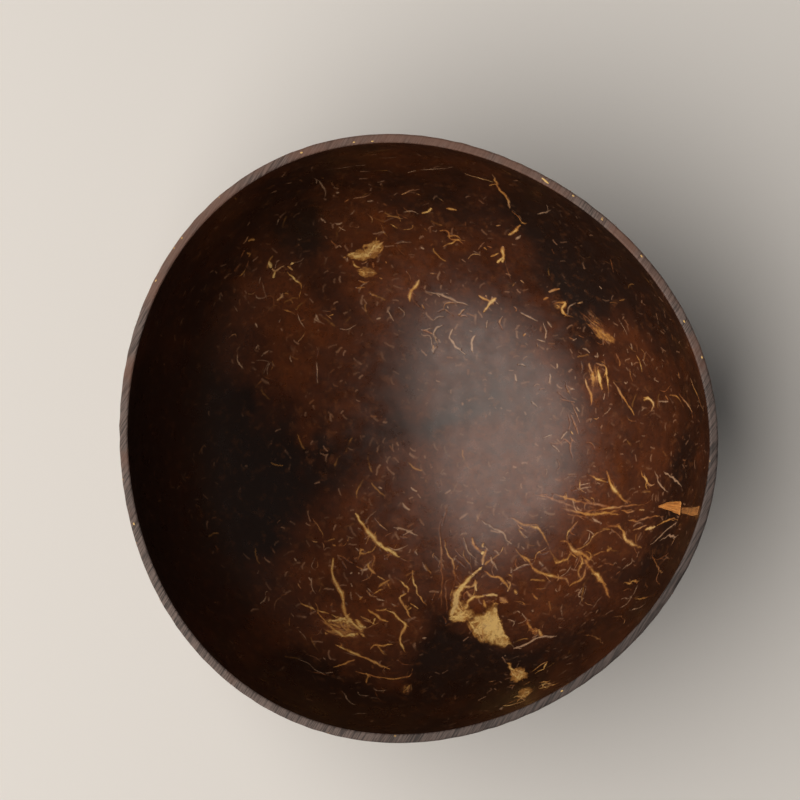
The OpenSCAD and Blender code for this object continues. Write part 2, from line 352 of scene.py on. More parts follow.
# a bent stroke in each cell, with its turn, length and luck from the cell's draws
def dash(tree, flat, cell, halfLong, halfWide, chance):
    place = vectorCalc(tree, "SCALE", flat, 1 / cell)
    cells = cellsOf(tree, place, 1.0, voronoi_dimensions="2D")
    draw = drawsOf(tree, cells)
    off = vectorCalc(tree, "SUBTRACT", place, cells["Position"])
    part = partsOf(tree, rolled(tree, off, times(tree, draw[0], 2 * np.pi)))
    bow = times(tree, minus(tree, draw[0], 0.5), times(tree, part[0], part[0]))
    side = plus(tree, part[1], times(tree, bow, 1.6))
    reach = times(tree, plus(tree, draw[1], 0.25), halfLong)
    beyond = calc(tree, "MAXIMUM", minus(tree, calc(tree, "ABSOLUTE", part[0]), reach), 0.0)
    gap = calc(tree, "SQRT", plus(tree, times(tree, side, side), times(tree, beyond, beyond)))
    shape = fade(tree, gap, 0.0, times(tree, plus(tree, draw[2], 0.7), halfWide), 1.0, 0.0)
    luck = fade(tree, minus(tree, chance, draw[2]), 0.0, 0.25)
    bright = fade(tree, calc(tree, "FRACT", times(tree, draw[0], 7.31)), 0.0, 1.0, 0.35, 1.0)
    return times(tree, times(tree, shape, luck), bright), draw[1]


# polished shell: browns in clouds, made darker by painted shade on the far left wall and along the seams,
# short dashes of fibre, and the fibre drawn by strands and patches
def innerFinish(name):
    material, tree, shader, place = newMaterial(name)
    look = shellLook
    # the richness field also carries painted shade: where it is low, the clouds turn deep brown
    richAndShadePush = swing(tree, attribute(tree, "richAndShade"), 0.40)
    clouds = plus(tree, noise(tree, place, 0.035, 4.0, 0.6), richAndShadePush)
    base = mixColour(tree, fade(tree, clouds, 0.34, 0.60), look["deep"], look["brown"])
    veils = plus(tree, noise(tree, place, 0.10, 5.0, 0.65), richAndShadePush)
    base = mixColour(tree, fade(tree, veils, 0.50, 0.78), base, look["warm"])
    pores = fade(tree, noise(tree, place, 0.8, 5.0, 0.7), 0.40, 0.66, 0.0, 0.45)
    base = mixColour(tree, pores, base, look["deep"])
    # darker along the seams: partly the seam's own darker line, partly painted shade of the crease valley
    base = mixColour(tree, times(tree, attribute(tree, "seam"), 0.35), base, look["deep"])

    crowd = fade(tree, plus(tree, noise(tree, place, 0.09), richAndShadePush), 0.30, 0.60, 0.45, 1.0)
    away = vectorCalc(tree, "ADD", place, (51.0, 7.0, 29.0))  # another part of the same noise
    mottle = times(tree, fade(tree, noise(tree, away, 0.45, 4.0, 0.6), 0.52, 0.72), crowd)
    base = mixColour(tree, times(tree, mottle, 0.30), base, look["rust"])
    shake = noise(tree, place, 0.7, 2.0, 0.5, "Color")
    shake = vectorCalc(tree, "SCALE", vectorCalc(tree, "SUBTRACT", shake, (0.5, 0.5, 0.5)), 0.8)
    flat = vectorCalc(tree, "ADD", attribute(tree, "flat", "Vector"), shake)
    away = vectorCalc(tree, "ADD", place, (13.0, 3.0, 37.0))
    crowd = times(tree, crowd, fade(tree, noise(tree, away, 0.20), 0.38, 0.62, 0.45, 1.0))
    for cell, halfLong, halfWide, many, strong, one, other in look["dashes"]:
        shape, own = dash(tree, flat, cell, halfLong, halfWide, times(tree, crowd, many))
        tint = mixColour(tree, fade(tree, own, 0.10, 0.80), look[one], look[other])
        base = mixColour(tree, times(tree, shape, strong), base, tint)

    fibre = attribute(tree, "fibre")
    ragged = swing(tree, noise(tree, place, 1.7, 4.0, 0.65), 0.70)
    broken = swing(tree, noise(tree, place, 0.60, 4.0, 0.65), 0.95)
    full = plus(tree, fibre, times(tree, plus(tree, ragged, broken), fade(tree, fibre, 0.0, 0.45)))
    core = times(tree, minus(tree, full, 0.66), 0.75)
    change = swing(tree, noise(tree, place, 0.5), 0.6)
    tone = plus(tree, attribute(tree, "tone"), plus(tree, core, change), clamp=True)
    tissue = mixColour(tree, fade(tree, tone, 0.0, 0.5), look["ginger"], look["gold"])
    tissue = mixColour(tree, fade(tree, tone, 0.5, 1.0), tissue, look["pale"])
    stain = fade(tree, noise(tree, place, 1.2, 4.0), 0.50, 0.74, 0.0, 0.60)
    tissue = mixColour(tree, stain, tissue, look["rust"])
    tissue = mixColour(tree, attribute(tree, "dust"), tissue, look["dust"])
    put(shader.inputs["Base Color"], mixColour(tree, fade(tree, full, 0.05, 0.92), base, tissue))
    shader.inputs["Specular IOR Level"].default_value = look["specular"]
    rough = look["roughness"]
    rubbed = fade(tree, noise(tree, place, 0.25, 4.0), 0.3, 0.7, rough - 0.05, rough + 0.07)
    put(shader.inputs["Roughness"], rubbed)
    addBump(tree, shader, noise(tree, place, 1.4, 4.0), 0.00002, 0.4)
    return material


rimLook = {
    "kerf": colour(0.024, 0.0155, 0.0130), "grey": colour(0.155, 0.112, 0.097),
    "red": colour(0.150, 0.070, 0.045), "pore": colour(0.026, 0.014, 0.010), "gold": colour(0.50, 0.30, 0.10),
    "sawTurn": 58, "sawStretch": (0.13, 3.1, 0.05), "roughness": 0.62,
    # painted shade: the colour the rim is multiplied by, the way it darkens towards, and its reach in
    # millimetres
    "paintedShade": colour(0.52, 0.52, 0.54), "paintedShadeTurn": 320, "paintedShadeReach": (20.0, 75.0),
}


# sawn edge: grey brown, with straight saw marks one way across the plan, pores and gold flecks, and painted
# shade that darkens it towards the lower right
def rimFinish(name):
    material, tree, shader, place = newMaterial(name)
    look = rimLook
    saw = noise(tree, stretched(tree, place, look["sawTurn"], look["sawStretch"]), 1.0, 3.0, 0.70)
    base = mixColour(tree, fade(tree, saw, 0.38, 0.60), look["kerf"], look["grey"])
    red = plus(tree, noise(tree, place, 0.09), times(tree, partsOf(tree, place)[1], 0.0022))
    base = mixColour(tree, fade(tree, red, 0.46, 0.74, 0.0, 0.75), base, look["red"])
    base = mixColour(tree, fade(tree, noise(tree, place, 3.5), 0.60, 0.72, 0.0, 0.7), base, look["pore"])
    spots = cellsOf(tree, place, 0.42)
    dot = fade(tree, spots["Distance"], 0.06, 0.15, 1.0, 0.0)
    dot = times(tree, dot, calc(tree, "GREATER_THAN", drawsOf(tree, spots)[1], 0.66))
    base = mixColour(tree, times(tree, dot, 0.85), base, look["gold"])
    # painted shade: the rim is multiplied darker towards its lower right side
    paintedShade = partsOf(tree, stretched(tree, place, look["paintedShadeTurn"], (1.0, 1.0, 1.0)))[0]
    base = mixColour(tree, fade(tree, paintedShade, *look["paintedShadeReach"]), base, look["paintedShade"], "MULTIPLY")
    put(shader.inputs["Base Color"], base)
    shader.inputs["Roughness"].default_value = look["roughness"]
    addBump(tree, shader, saw, 0.00012, 0.6)
    return material


outerLook = {
    "dark": colour(0.021, 0.0105, 0.0070), "brown": colour(0.085, 0.036, 0.020),
    "streak": colour(0.125, 0.060, 0.033), "pale": colour(0.36, 0.22, 0.10),
    "pore": colour(0.012, 0.006, 0.004), "roughness": (0.44, 0.60),
}


# scraped outside: fibre marks run from foot to rim, on noise stretched along the grain attribute
def outerFinish(name):
    material, tree, shader, place = newMaterial(name)
    look = outerLook
    grain = attribute(tree, "grain", "Vector")
    streaks = noise(tree, grain, 0.9, 5.0, 0.62)
    broad = noise(tree, grain, 0.16, 4.0, 0.6)
    base = mixColour(tree, fade(tree, broad, 0.34, 0.66), look["dark"], look["brown"])
    base = mixColour(tree, fade(tree, streaks, 0.42, 0.66, 0.0, 0.8), base, look["streak"])
    pale = fade(tree, noise(tree, grain, 1.7, 3.0, 0.5), 0.63, 0.74)
    pale = times(tree, pale, fade(tree, noise(tree, place, 0.06), 0.42, 0.66))
    base = mixColour(tree, times(tree, pale, 0.8), base, look["pale"])
    pores = fade(tree, noise(tree, place, 1.3, 4.0, 0.7), 0.58, 0.72)
    base = mixColour(tree, times(tree, pores, 0.6), base, look["pore"])
    put(shader.inputs["Base Color"], base)
    put(shader.inputs["Roughness"], fade(tree, streaks, 0.3, 0.7, *look["roughness"]))
    height = minus(tree, plus(tree, streaks, times(tree, broad, 0.6)), times(tree, pores, 0.7))
    addBump(tree, shader, height, 0.00018, 0.55)
    return material


footLook = {
    "brown": colour(0.090, 0.044, 0.026), "tan": colour(0.17, 0.092, 0.052),
    "line": colour(0.235, 0.150, 0.095), "end": colour(0.42, 0.29, 0.15),
    "sandTurn": 25, "sandStretch": (0.06, 1.6, 1.0), "roughness": 0.66,
}


def footFinish(name):  # sanded flat: paler, with sanding lines and cut fibre ends
    material, tree, shader, place = newMaterial(name)
    look = footLook
    lines = noise(tree, stretched(tree, place, look["sandTurn"], look["sandStretch"]), 1.0, 4.0, 0.65)
    base = mixColour(tree, fade(tree, noise(tree, place, 0.12, 4.0), 0.35, 0.65), look["brown"], look["tan"])
    base = mixColour(tree, fade(tree, lines, 0.40, 0.66, 0.0, 0.6), base, look["line"])
    ends = cellsOf(tree, place, 0.5)["Distance"]
    base = mixColour(tree, fade(tree, ends, 0.10, 0.22, 0.75, 0.0), base, look["end"])
    put(shader.inputs["Base Color"], base)
    shader.inputs["Roughness"].default_value = look["roughness"]
    addBump(tree, shader, lines, 0.0001, 0.5)
    return material


huskLook = {
    "brown": colour(0.32, 0.105, 0.020), "ochre": colour(0.72, 0.290, 0.060),
    "straw": colour(0.66, 0.34, 0.10), "worn": colour(0.105, 0.042, 0.012), "roughness": 0.7,
}


def huskFinish(name):  # dry husk: ochre, with long fibres along the plate, darker where it is worn
    material, tree, shader, place = newMaterial(name)
    look = huskLook
    strings = noise(tree, attribute(tree, "grain", "Vector"), 1.0, 4.0, 0.65)
    base = mixColour(tree, fade(tree, strings, 0.34, 0.66), look["brown"], look["ochre"])
    base = mixColour(tree, fade(tree, noise(tree, place, 0.7), 0.52, 0.75, 0.0, 0.6), base, look["straw"])
    uneven = fade(tree, noise(tree, place, 0.35), 0.38, 0.60, 1.15, 0.55)
    base = mixColour(tree, times(tree, attribute(tree, "worn"), uneven), base, look["worn"])
    put(shader.inputs["Base Color"], base)
    shader.inputs["Roughness"].default_value = look["roughness"]
    addBump(tree, shader, strings, 0.0002, 0.7)
    return material


inner, rim = innerFinish("polishedShell"), rimFinish("sawnRim")
outer, foot = outerFinish("scrapedShell"), footFinish("sandedFoot")
husk = huskFinish("dryHusk")
print("finishes made")


# the shell

shellForm = {
    "around": 420, "outerRows": 60, "edgeRows": 5, "flatRows": 5, "innerRows": 112, "footRows": 10,
    "low": 0.03 * mm,  # the rim stays this far under the solid's top
    "seed": 5, "scrape": 0.10 * mm, "furrow": 0.035 * mm, "nick": 0.16 * mm, "nickFrom": 0.9,
    "scrapeWaves": (16, (0, 12), (0.03, 0.09)),  # how many, turns round, and lengths along in metres
    "furrowWaves": (26, (40, 110), (0.05, 0.30)), "nickWaves": (22, (18, 150), (1, 2)),
    "footBlend": 6 * mm, "outerArc": 92, "grainR": 71, "grainRise": 0.055,
}


def makeShell():  # section rows (foot, outer face, rim, inner face) carried round, with a point at each pole
    g, low, edgeRound = shellForm, shellForm["low"], bowl["rimRound"]
    angle = np.linspace(0, 2 * np.pi, g["around"], endpoint=False)[None]
    footRow = bowl["footR"] * np.array([*np.linspace(0.06, 0.96, g["footRows"] - 1), 0.992])[:, None]
    nearFoot = footTurn + np.array([0.0, 0.002, 0.008])
    outTurn = np.concatenate([nearFoot, np.linspace(footTurn + 0.02, quarter, g["outerRows"])])[:, None]
    edge = np.linspace(0, quarter, g["edgeRows"] + 1)[1:, None]
    flat = np.linspace(0, 1, g["flatRows"] + 2)[1:-1, None]
    inTurn = np.linspace(quarter, 0.03, g["innerRows"])[:, None]
    arcOut = np.linspace(0, 1, len(outTurn))[:, None] * g["outerArc"] * mm

    footPart = ring(angle, footRow, 0 * footRow, bowl["ridge"])
    outR, outZ = bowl["rimR"] * np.sin(outTurn) ** power, shoulder - outerDepth * np.cos(outTurn) ** power
    outerPart = ring(angle, outR, np.maximum(outZ, 0), bowl["ridge"])
    wear = g["scrape"] * (1 + 0.6 * waves(angle, arcOut, g["seed"], *g["scrapeWaves"]))
    wear = wear + g["furrow"] * (1 + waves(angle, arcOut, g["seed"] + 1, *g["furrowWaves"]))
    wear = np.clip(wear, 0, None) * np.clip(arcOut / g["footBlend"], 0, 1)
    outerPart = outerPart - wear[..., None] * unit(outerPart * [1, 1, 0])

    nick = waves(angle, 0 * angle, g["seed"] + 2, *g["nickWaves"])
    nick = g["nick"] * np.clip(nick - g["nickFrom"], 0, 1.2)
    outEdge = ring(angle, bowl["rimR"] - wear[-1:, :] - nick * np.sin(edge) - edgeRound * (1 - np.cos(edge)),
                   shoulder - low + edgeRound * np.sin(edge) - nick * np.sin(edge) ** 2, 0.0)
    inEdge = ring(angle, boreR + edgeRound * (1 - np.cos(edge[::-1])),
                  shoulder - low + edgeRound * np.sin(edge[::-1]), 0.0)
    flatPart = outEdge[-1] * (1 - flat[..., None]) + inEdge[0] * flat[..., None]
    innerPart = innerFace(angle + 0 * inTurn, inTurn + 0 * angle)
    innerPart[0, :, 2] -= low

    parts = [footPart, outerPart, outEdge, flatPart, inEdge, innerPart]
    rows = np.concatenate(parts)
    points = np.concatenate([rows.reshape(-1, 3), [[0, 0, 0], [0, 0, bowl["footWall"]]]])
    count, around = len(rows), g["around"]
    poles = fanFaces(count * around, 0, around, flip=True)
    poles += fanFaces(count * around + 1, (count - 1) * around, around)

    sizes = np.cumsum([len(part) for part in parts])  # each row of faces is foot, outer, rim or inner
    kind = np.searchsorted(sizes[[0, 1, 4]], np.arange(count - 1) + 1, side="right")
    kind = np.choose(np.clip(kind, 0, 3), [3, 2, 1, 0])
    slots = np.concatenate([np.repeat(kind, around), np.full(around, 3), np.full(around, 0)])

    heights = rows[..., 2]
    grain = np.stack([g["grainR"] * np.cos(angle) + 0 * heights, g["grainR"] * np.sin(angle) + 0 * heights,
                      heights / mm * g["grainRise"]], -1).reshape(-1, 3)
    grain = np.concatenate([grain, np.zeros((2, 3))])
    looks = {**markings(points), "grain": grain}
    piece = makeMesh("shellBody", points, gridFaces(count, around) + poles, looks)
    for material in (inner, rim, outer, foot):
        piece.data.materials.append(material)
    piece.data.polygons.foreach_set("material_index", slots.astype(np.int32))
    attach(piece, "root")
    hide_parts("shell")
    print("shell made", len(points), "points")


makeShell()


# fibre drawn on the inner face: strokes and patches, and the field that both give

lowerLeftCrop, lowerRightCrop = ((270, 470), 0.2525), ((470, 470), 0.2525)
upperRightCrop, upperLeftCrop = ((420, 140), 0.303), ((130, 140), 0.303)
strandForm = {
    "across": 9, "hairAcross": 5, "step": 0.45 * mm,
    "rise": 0.012 * mm, "sink": 0.010 * mm, "under": 0.10 * mm, "taper": 0.5 * mm,
    "slim": 0.94, "tip": 0.25, "uneven": 0.35, "halo": 2.3, "turns": (0.02, 1.53), "lastTurn": 1.565,
    "core": (0.74, 0.78), "glow": (0.40, 1.65), "near": 3 * mm,  # height and width of two bells, their reach
    "waver": 0.004, "sway": 0.003, "waverPace": (0.5, 2.8),  # radians round and outwards, and per millimetre
    "unevenPaces": ((7, 16), (16, 34)), "fade": 0.15, "fadePower": 0.35, "pulse": 0.15, "pulsePace": (5, 20),
    "drift": 0.20, "driftPace": (0.25, 0.60), "veilPace": (0.18, 0.45), "dustyLook": 0.6,
}
patchForm = {
    "rise": 0.024 * mm, "sink": 0.008 * mm, "under": 0.6 * mm, "rings": 12, "around": 64, "spread": 1.30,
    "full": 0.64, "edge": 1.12, "soft": 0.32, "size": 0.97, "wobble": 0.13, "wobbleTurns": (3, 5, 7, 11, 16),
}


dustyTone, dustyFrom = 2.0, 1.5  # a tone above the second is dusty


def ripple(rng, x, *pace):  # a sine of seeded pace and phase
    return np.sin(x * rng.uniform(*pace) + rng.uniform(0, 6.3))


def smoothRoute(route, seed, shake):  # Catmull-Rom through the places, then even steps, then a slight waver
    p = np.array(route, float) * [np.pi / 180, 1]
    p = np.vstack([2 * p[0] - p[1], p, 2 * p[-1] - p[-2]])
    t = np.linspace(0, 1, 24, endpoint=False)[None, :, None]
    a, b, c, d = (p[i:len(p) - 3 + i, None] for i in range(4))
    curve = 2 * b + (c - a) * t + (2 * a - 5 * b + 4 * c - d) * t ** 2
    curve = (curve + (3 * b - a - 3 * c + d) * t ** 3) / 2
    curve = np.vstack([curve.reshape(-1, 2), p[-2:-1]])
    spots = plainFace(curve[:, 0], turnOf(curve[:, 1]))
    run = np.concatenate([[0], np.cumsum(np.linalg.norm(np.diff(spots, axis=0), axis=1))])
    even = np.linspace(0, run[-1], max(6, int(run[-1] / strandForm["step"])))
    angle, turn = np.interp(even, run, curve[:, 0]), turnOf(np.interp(even, run, curve[:, 1]))
    f, rng = strandForm, np.random.default_rng(seed)
    waver, sway = (sum(ripple(rng, even / mm, *f["waverPace"]) for _ in range(4)) / 4 for _ in range(2))
    return angle + waver * f["waver"] * shake, turn + sway * f["sway"] * shake, even, rng


# a line on the face, with its half width, strength, tone and dust along it
def makeStroke(width, tone, strength, route, seed, shake=1.0, dustMost=0.3):
    angle, turn, run, rng = smoothRoute(route, seed, shake)
    f, u = strandForm, run / run[-1]
    slow, quick = (ripple(rng, u, *pace) for pace in f["unevenPaces"])
    uneven = 1 + f["uneven"] * slow * quick
    bell = np.sin(np.pi * np.clip(u, 0.004, 0.996))
    half = f["slim"] * width * mm / 2 * (f["tip"] + (1 - f["tip"]) * np.sqrt(bell)) * uneven
    ends = f["fade"] + (1 - f["fade"]) * bell ** f["fadePower"]
    force = strength * ends * (1 + f["pulse"] * ripple(rng, u, *f["pulsePace"]))
    drift, veil = (ripple(rng, run / mm, *f[pace]) for pace in ("driftPace", "veilPace"))
    dusty = tone > dustyFrom
    dust = np.ones(len(u)) if dusty else dustMost * np.clip((veil - 0.25) / 0.75, 0, 1)
    return {"angle": angle, "turn": turn, "u": u, "long": run[-1], "line": innerFace(angle, turn),
            "half": half, "strength": force, "kind": tone, "dust": dust,
            "tone": (f["dustyLook"] if dusty else tone) + f["drift"] * drift}


# at the nearest place on the line: a narrow bell for the fibre and a wide faint one round it
def strokeField(points, stroke):
    f, line, half = strandForm, stroke["line"], stroke["half"]
    inside = (points > line.min(0) - f["near"]) & (points < line.max(0) + f["near"])
    near = np.flatnonzero(np.all(inside, axis=1))
    step = np.diff(line, axis=0)
    off = points[near][:, None] - line[:-1]
    t = np.clip(np.einsum("pij,ij->pi", off, step) / np.einsum("ij,ij->i", step, step), 0, 1)
    gap = np.linalg.norm(off - t[..., None] * step, axis=-1)
    k = np.argmin(gap, axis=1)
    row = np.arange(len(near))
    place = k + t[row, k]
    spots = np.arange(len(half))
    ratio = gap[row, k] / np.interp(place, spots, half)
    bell = sum(tall * np.exp(-(ratio / wide) ** 2) for tall, wide in (f["core"], f["glow"]))
    strength, tone, dust = (np.interp(place, spots, stroke[key]) for key in ("strength", "tone", "dust"))
    return near, strength * bell, tone, dust


# an outline read off the photograph, held as reach against direction on the face, with a seeded wobble
def makePatch(tone, strength, crop, outline):
    f, place = patchForm, seen(outline, crop)
    centre = place.mean(0)
    at = np.radians(centre[:1]), turnOf(centre[1:])
    middle, normal = innerFace(*at)[0], faceNormal(*at)[0]
    first = np.cross(normal, [0.3, 0.9, 0.2])
    first /= np.linalg.norm(first)
    axes = np.stack([first, np.cross(normal, first)])
    border = (innerFace(np.radians(place[:, 0]), turnOf(place[:, 1])) - middle) @ axes.T
    way = np.linspace(-np.pi, np.pi, 72, endpoint=False)
    reach = np.interp(way, np.arctan2(border[:, 1], border[:, 0]), np.hypot(*border.T), period=2 * np.pi)
    rng = np.random.default_rng(int(outline[0][0] * 7 + outline[0][1]))
    wobble = sum(np.sin(k * way + rng.uniform(0, 6.3)) / k ** 0.5 for k in f["wobbleTurns"]) * f["wobble"]
    return {"middle": middle, "axes": axes, "way": way, "reach": reach * (f["size"] + wobble), "tone": tone,
            "strength": strength, "plateau": f["full"] * strength ** 2, "centre": centre, "outline": place}


def patchField(points, patch):  # full in the middle, falling off towards the outline
    f = patchForm
    away = np.linalg.norm(points - patch["middle"], axis=1)
    near = np.flatnonzero(away < patch["reach"].max() * f["spread"])
    flat = (points[near] - patch["middle"]) @ patch["axes"].T
    reach = np.interp(np.arctan2(flat[:, 1], flat[:, 0]), patch["way"], patch["reach"], period=2 * np.pi)
    value = patch["plateau"] * np.clip((f["edge"] - np.hypot(*flat.T) / reach) / f["soft"], 0, 1)
    return near, value, np.full(len(near), patch["tone"]), np.zeros(len(near))


# added up by their cubes, so that they web where they meet; the strongest gives its tone and dust
def drawn(points, strokes, sheets):
    total, most, tone, dust = np.zeros((4, len(points)))
    for source, field in [(s, strokeField) for s in strokes] + [(s, patchField) for s in sheets]:
        near, value, toneHere, dustHere = field(points, source)
        total[near] += value ** 3
        ahead = value > most[near]
        spot = near[ahead]
        most[spot], tone[spot], dust[spot] = value[ahead], toneHere[ahead], dustHere[ahead]
    return {"fibre": np.cbrt(total), "tone": tone, "dust": dust}


# each stroke: width in millimetres, tone (rust 0, gold 0.5, pale 1, dusty 2), strength, then its places,
# "polar" ones as angle and share of the bore, the others as read off a crop of the photograph
lowerLeft = {
    "node": "lower_left_strands", "seed": 100, "tone": 0.06, "width": 1.06, "gain": 1.20, "dust": 0.10,
    "rootlets": (95, (212, 276), (0.35, 0.90)),
    "polar": [
        (1.0, .55, .95, [(233, .34), (241, .36), (249, .385), (254, .405), (259, .415), (265, .437)]),
        (1.0, .45, .95, [(237, .51), (239, .55), (242, .58), (246, .607), (248, .643), (250, .672),
            (256, .71)]),
        (.80, .40, .85, [(249.5, .774), (254, .783), (259, .795), (262, .81), (265, .82)]),
        (.55, .30, .65, [(256, .84), (260, .845), (265, .85), (269, .843), (270, .83)]),
        (.70, .45, .85, [(261, .62), (264, .632), (266.6, .655), (268, .674), (266.6, .72), (268.2, .763)]),
        (.55, 2, .60, [(258, .332), (265, .335), (270.4, .35), (274.3, .362)]),
        (.65, 2, .70, [(261.4, .235), (265, .255), (269.6, .27)]),
    ],
    lowerLeftCrop: [
        (.55, 2, .64, [(555, 65), (570, 78), (587, 87)]), (.50, 2, .55, [(425, 66), (446, 76)]),
        (.45, .40, .40, [(165, 185), (185, 215), (205, 245), (210, 275)]),
        (.50, .40, .55, [(245, 298), (264, 302)]), (.60, .45, .70, [(354, 338), (361, 313), (375, 322)]),
        (.45, .35, .50, [(354, 338), (344, 348), (332, 351)]),
        (.70, .22, .72, [(404, 335), (413, 347), (411, 367)]),
        (.45, .30, .60, [(423, 415), (436, 424), (457, 438)]),
        (.75, .25, .78, [(391, 365), (389, 383), (400, 397), (423, 415)]),
        (.40, .35, .50, [(339, 376), (359, 390), (380, 401)]), (.50, 2, .50, [(312, 412), (332, 405)]),
        (.75, .20, .55, [(477, 433), (461, 442), (441, 454), (425, 470)]),
        (.50, 2, .50, [(318, 445), (327, 466)]), (.60, .20, .50, [(461, 442), (470, 456), (477, 478)]),
        (.40, 2, .40, [(334, 483), (350, 494), (368, 506)]),
        (.45, 2, .50, [(416, 506), (436, 515), (459, 519)]), (.40, .40, .50, [(484, 540), (511, 540)]),
        (.55, .45, .75, [(511, 433), (527, 451), (545, 467), (545, 487)]),
        (.60, .45, .72, [(545, 487), (518, 499), (516, 515), (527, 535), (541, 554), (550, 574),
            (559, 592)]),
        (.45, .45, .55, [(550, 524), (566, 538), (591, 556)]),
        (.45, .45, .55, [(562, 540), (552, 552), (541, 556)]),
        (.50, .50, .66, [(566, 392), (566, 419), (568, 447), (579, 465), (582, 487), (598, 510),
            (625, 542)]),
        (.45, 2, .42, [(600, 360), (612, 385), (626, 406)]),
        (.45, .40, .40, [(110, 500), (125, 525), (155, 540)]),
        (.60, .30, .80, [(395, 715), (410, 696), (450, 696), (492, 690)]),
        (.40, 2, .35, [(85, 560), (95, 585)]), (.60, .30, .80, [(248, 785), (298, 766), (340, 750)]),
        (.50, .30, .55, [(383, 800), (385, 825), (378, 850)]),
        (.55, .20, .60, [(265, 680), (285, 690), (275, 700), (255, 690)]),
        (.45, 2, .35, [(395, 900), (430, 905)]),
        (.70, .42, .85, [(385, 550), (412, 570), (440, 590), (472, 602)]),
        (.50, 2, .52, [(95, 345), (106, 364)]), (.50, .30, .55, [(408, 548), (440, 555), (470, 546)]),
        (.40, 2, .35, [(110, 630), (130, 650), (150, 680)]),
        (.40, 2, .32, [(95, 745), (150, 765), (190, 800), (240, 806)]),
        (.50, 2, .52, [(150, 420), (163, 442)]), (.50, 2, .40, [(290, 880), (305, 905), (325, 930)]),
        (.45, 2, .35, [(325, 968), (360, 964), (400, 966)]),
        (.45, .40, .55, [(175, 520), (190, 545), (186, 572)]), (.85, .45, .70, [(214, 644), (230, 650)]),
        (.55, .45, .75, [(119, 526), (150, 538), (172, 546), (184, 556)]),
        (.45, .40, .70, [(184, 556), (200, 575), (216, 594), (240, 617)]),
        (.50, .45, .80, [(240, 566), (260, 580), (291, 589), (308, 607), (328, 632)]),
        (.45, .40, .70, [(180, 552), (215, 562), (240, 570)]),
        (.70, .50, .80, [(361, 620), (375, 624), (384, 618)]),
        (.50, .40, .75, [(263, 627), (262, 612), (272, 602), (293, 597), (312, 608), (320, 622)]),
        (.50, .40, .70, [(225, 603), (250, 612), (275, 622), (292, 640)]),
        (.75, .50, .95, [(356, 647), (336, 650), (316, 652), (301, 660), (280, 650), (262, 634),
            (225, 612)]),
        (.50, .35, .65, [(206, 600), (230, 612), (255, 630), (270, 640)]),
        (1.2, .60, 1.0, [(338, 588), (352, 608), (361, 624), (358, 642)]),
        (.60, .45, .80, [(356, 640), (366, 652), (375, 661)]),
        (.50, .40, .60, [(355, 575), (380, 590), (409, 607)]),
        (.50, .45, .65, [(418, 582), (412, 600), (407, 615)]), (.60, 2, .45, [(348, 412), (358, 404)]),
        (.60, .42, .85, [(205, 606), (236, 596), (270, 594), (304, 578), (322, 566)]),
        (.55, .30, .80, [(272, 590), (284, 612), (304, 634), (342, 646)]),
        (.50, .25, .75, [(212, 628), (244, 640), (284, 646), (316, 640), (340, 622)]),
        (.55, .36, .80, [(296, 592), (318, 600), (336, 616), (350, 634)]),
        (.50, .20, .70, [(240, 606), (246, 626), (262, 648)]),
        (.50, .30, .75, [(318, 586), (308, 612), (314, 644)]),
        (.45, .15, .65, [(196, 590), (222, 606), (238, 632)]),
        (.45, .20, .62, [(250, 590), (276, 606), (300, 610)]),
    ],
}
